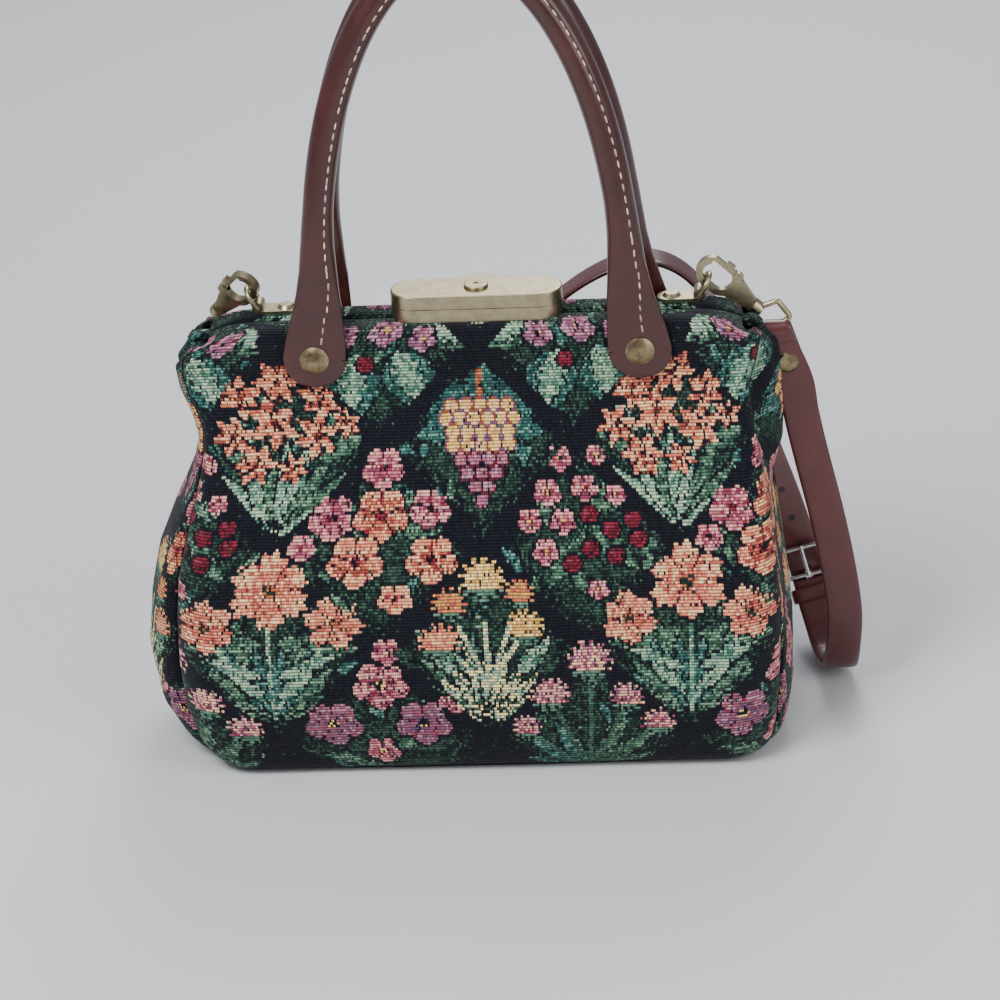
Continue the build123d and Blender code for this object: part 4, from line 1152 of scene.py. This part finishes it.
right_end = turned_end(BAR_RIGHT, DOWN_RIGHT, FALL[0], 0, (0, 1, 0))
left_end = turned_end(BAR_LEFT, DOWN_LEFT, CLIMB[-1], 90, (1, 0, 0))
front_points = right_end + FALL
make_ribbon("strap_front_length", front_points, [0] * len(front_points), "strap_buckle_side", 230)
climb_turns = [min(max((k - 2) * 9.0, 0), 90) for k in range(len(CLIMB))]
rear_turns = climb_turns + [90] * len(left_end)
make_ribbon("strap_rear_length", CLIMB + left_end[::-1], rear_turns, "strap_hole_side", 520)

# %% [markdown]
# A narrow leather loop keeps the strap's free end down, and small holes take the
# buckle's prong. Each hole is a solid near-black disc: painted shade where the hole's inside would be.

# %% Keeper and punched holes
def loop_place(centre, across, through_way, half_across, half_through, half_width_mm, half_thick):
    """A band that runs round a rounded rectangle."""
    axis = np.cross(across, through_way)

    def place(u, v):
        p = rounded(np.cos(u * 2 * pi), 0.35) * half_across
        q = rounded(np.sin(u * 2 * pi), 0.35) * half_through
        w = rounded(np.cos(v * 2 * pi), 0.4) * half_width_mm
        h = rounded(np.sin(v * 2 * pi), 0.6) * half_thick
        p = p * (1 + h / half_across)
        q = q * (1 + h / half_through)
        return centre + across * p[:, None] + through_way * q[:, None] + axis * w[:, None]
    return place


lower, upper = np.array(FALL[-2]), np.array(CLIMB[1])
run = np.array(FALL[-1]) - np.array(FALL[-3])
run /= np.linalg.norm(run)
across = np.array([1.0, 0, 0]) - run * run[0]
across /= np.linalg.norm(across)
through_way = np.cross(run, across)
bm, u, v = wrapped(96, 16, loop_place((lower + upper) / 2, across, through_way, 8.8, 5.5, 3.0, 0.75))
bmesh.ops.remove_doubles(bm, verts=bm.verts, dist=0.00001)
bmesh.ops.recalc_face_normals(bm, faces=bm.faces)
keeper = finish_piece("strap_keeper_loop", bm, STRAP_LEATHER)
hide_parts("strap_keeper")
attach(keeper, "root")

# Painted shade: near-black discs fill the holes where their inside would be in shade.
HOLE_SHADE_DISC = material_start("painted_hole_shade", Roughness=0.6, Base_Color=(0.012, 0.006, 0.006, 1))[0]
HOLE_RADIUS = 0.0015
bm = bmesh.new()
for k in range(3, 7):
    spot = Vector(CLIMB[k])
    run_here = (Vector(CLIMB[k + 1]) - Vector(CLIMB[k - 1])).normalized()
    facing = run_here.cross(width_way(run_here, climb_turns[k]))
    way = facing.to_track_quat("Z", "Y").to_matrix().to_4x4()
    bmesh.ops.create_cone(
        bm, cap_ends=True, segments=20, radius1=HOLE_RADIUS, radius2=HOLE_RADIUS, depth=0.00255,
        matrix=Matrix.Translation(spot * MM) @ way,
    )
holes = finish_piece("strap_holes", bm, HOLE_SHADE_DISC, smooth=False)
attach(holes, "root")

# %% [markdown]
# Floor and light for judging the work.

# %% Stage
bpy.ops.mesh.primitive_plane_add(size=14)
floor = bpy.context.object
floor.name = "studio_floor"
paper, tree, shader = material_start("studio_paper", Roughness=0.9, Base_Color=(0.62, 0.62, 0.63, 1))
floor.data.materials.append(paper)


def soft_light(name, place, size, power, aim=(0, 0, 0.1)):
    lamp = bpy.data.lights.new(name, "AREA")
    lamp.shape = "DISK"
    lamp.size = size
    lamp.energy = power
    lit = bpy.data.objects.new(name, lamp)
    lit.location = place
    lit.rotation_euler = (Vector(aim) - Vector(place)).to_track_quat("-Z", "Y").to_euler()
    scene.collection.objects.link(lit)


soft_light("key_light", (-0.55, -0.75, 1.25), 0.7, 22)
soft_light("fill_light", (0.9, -0.7, 0.7), 0.9, 8)
soft_light("back_light", (0.1, 1.0, 1.1), 0.7, 12)
world = bpy.data.worlds.new("studio_world")
world.use_nodes = True
sky = world.node_tree.nodes["Background"].inputs
sky["Color"].default_value = (0.85, 0.9, 1.0, 1)
sky["Strength"].default_value = 0.45
scene.world = world
print("stage ready")
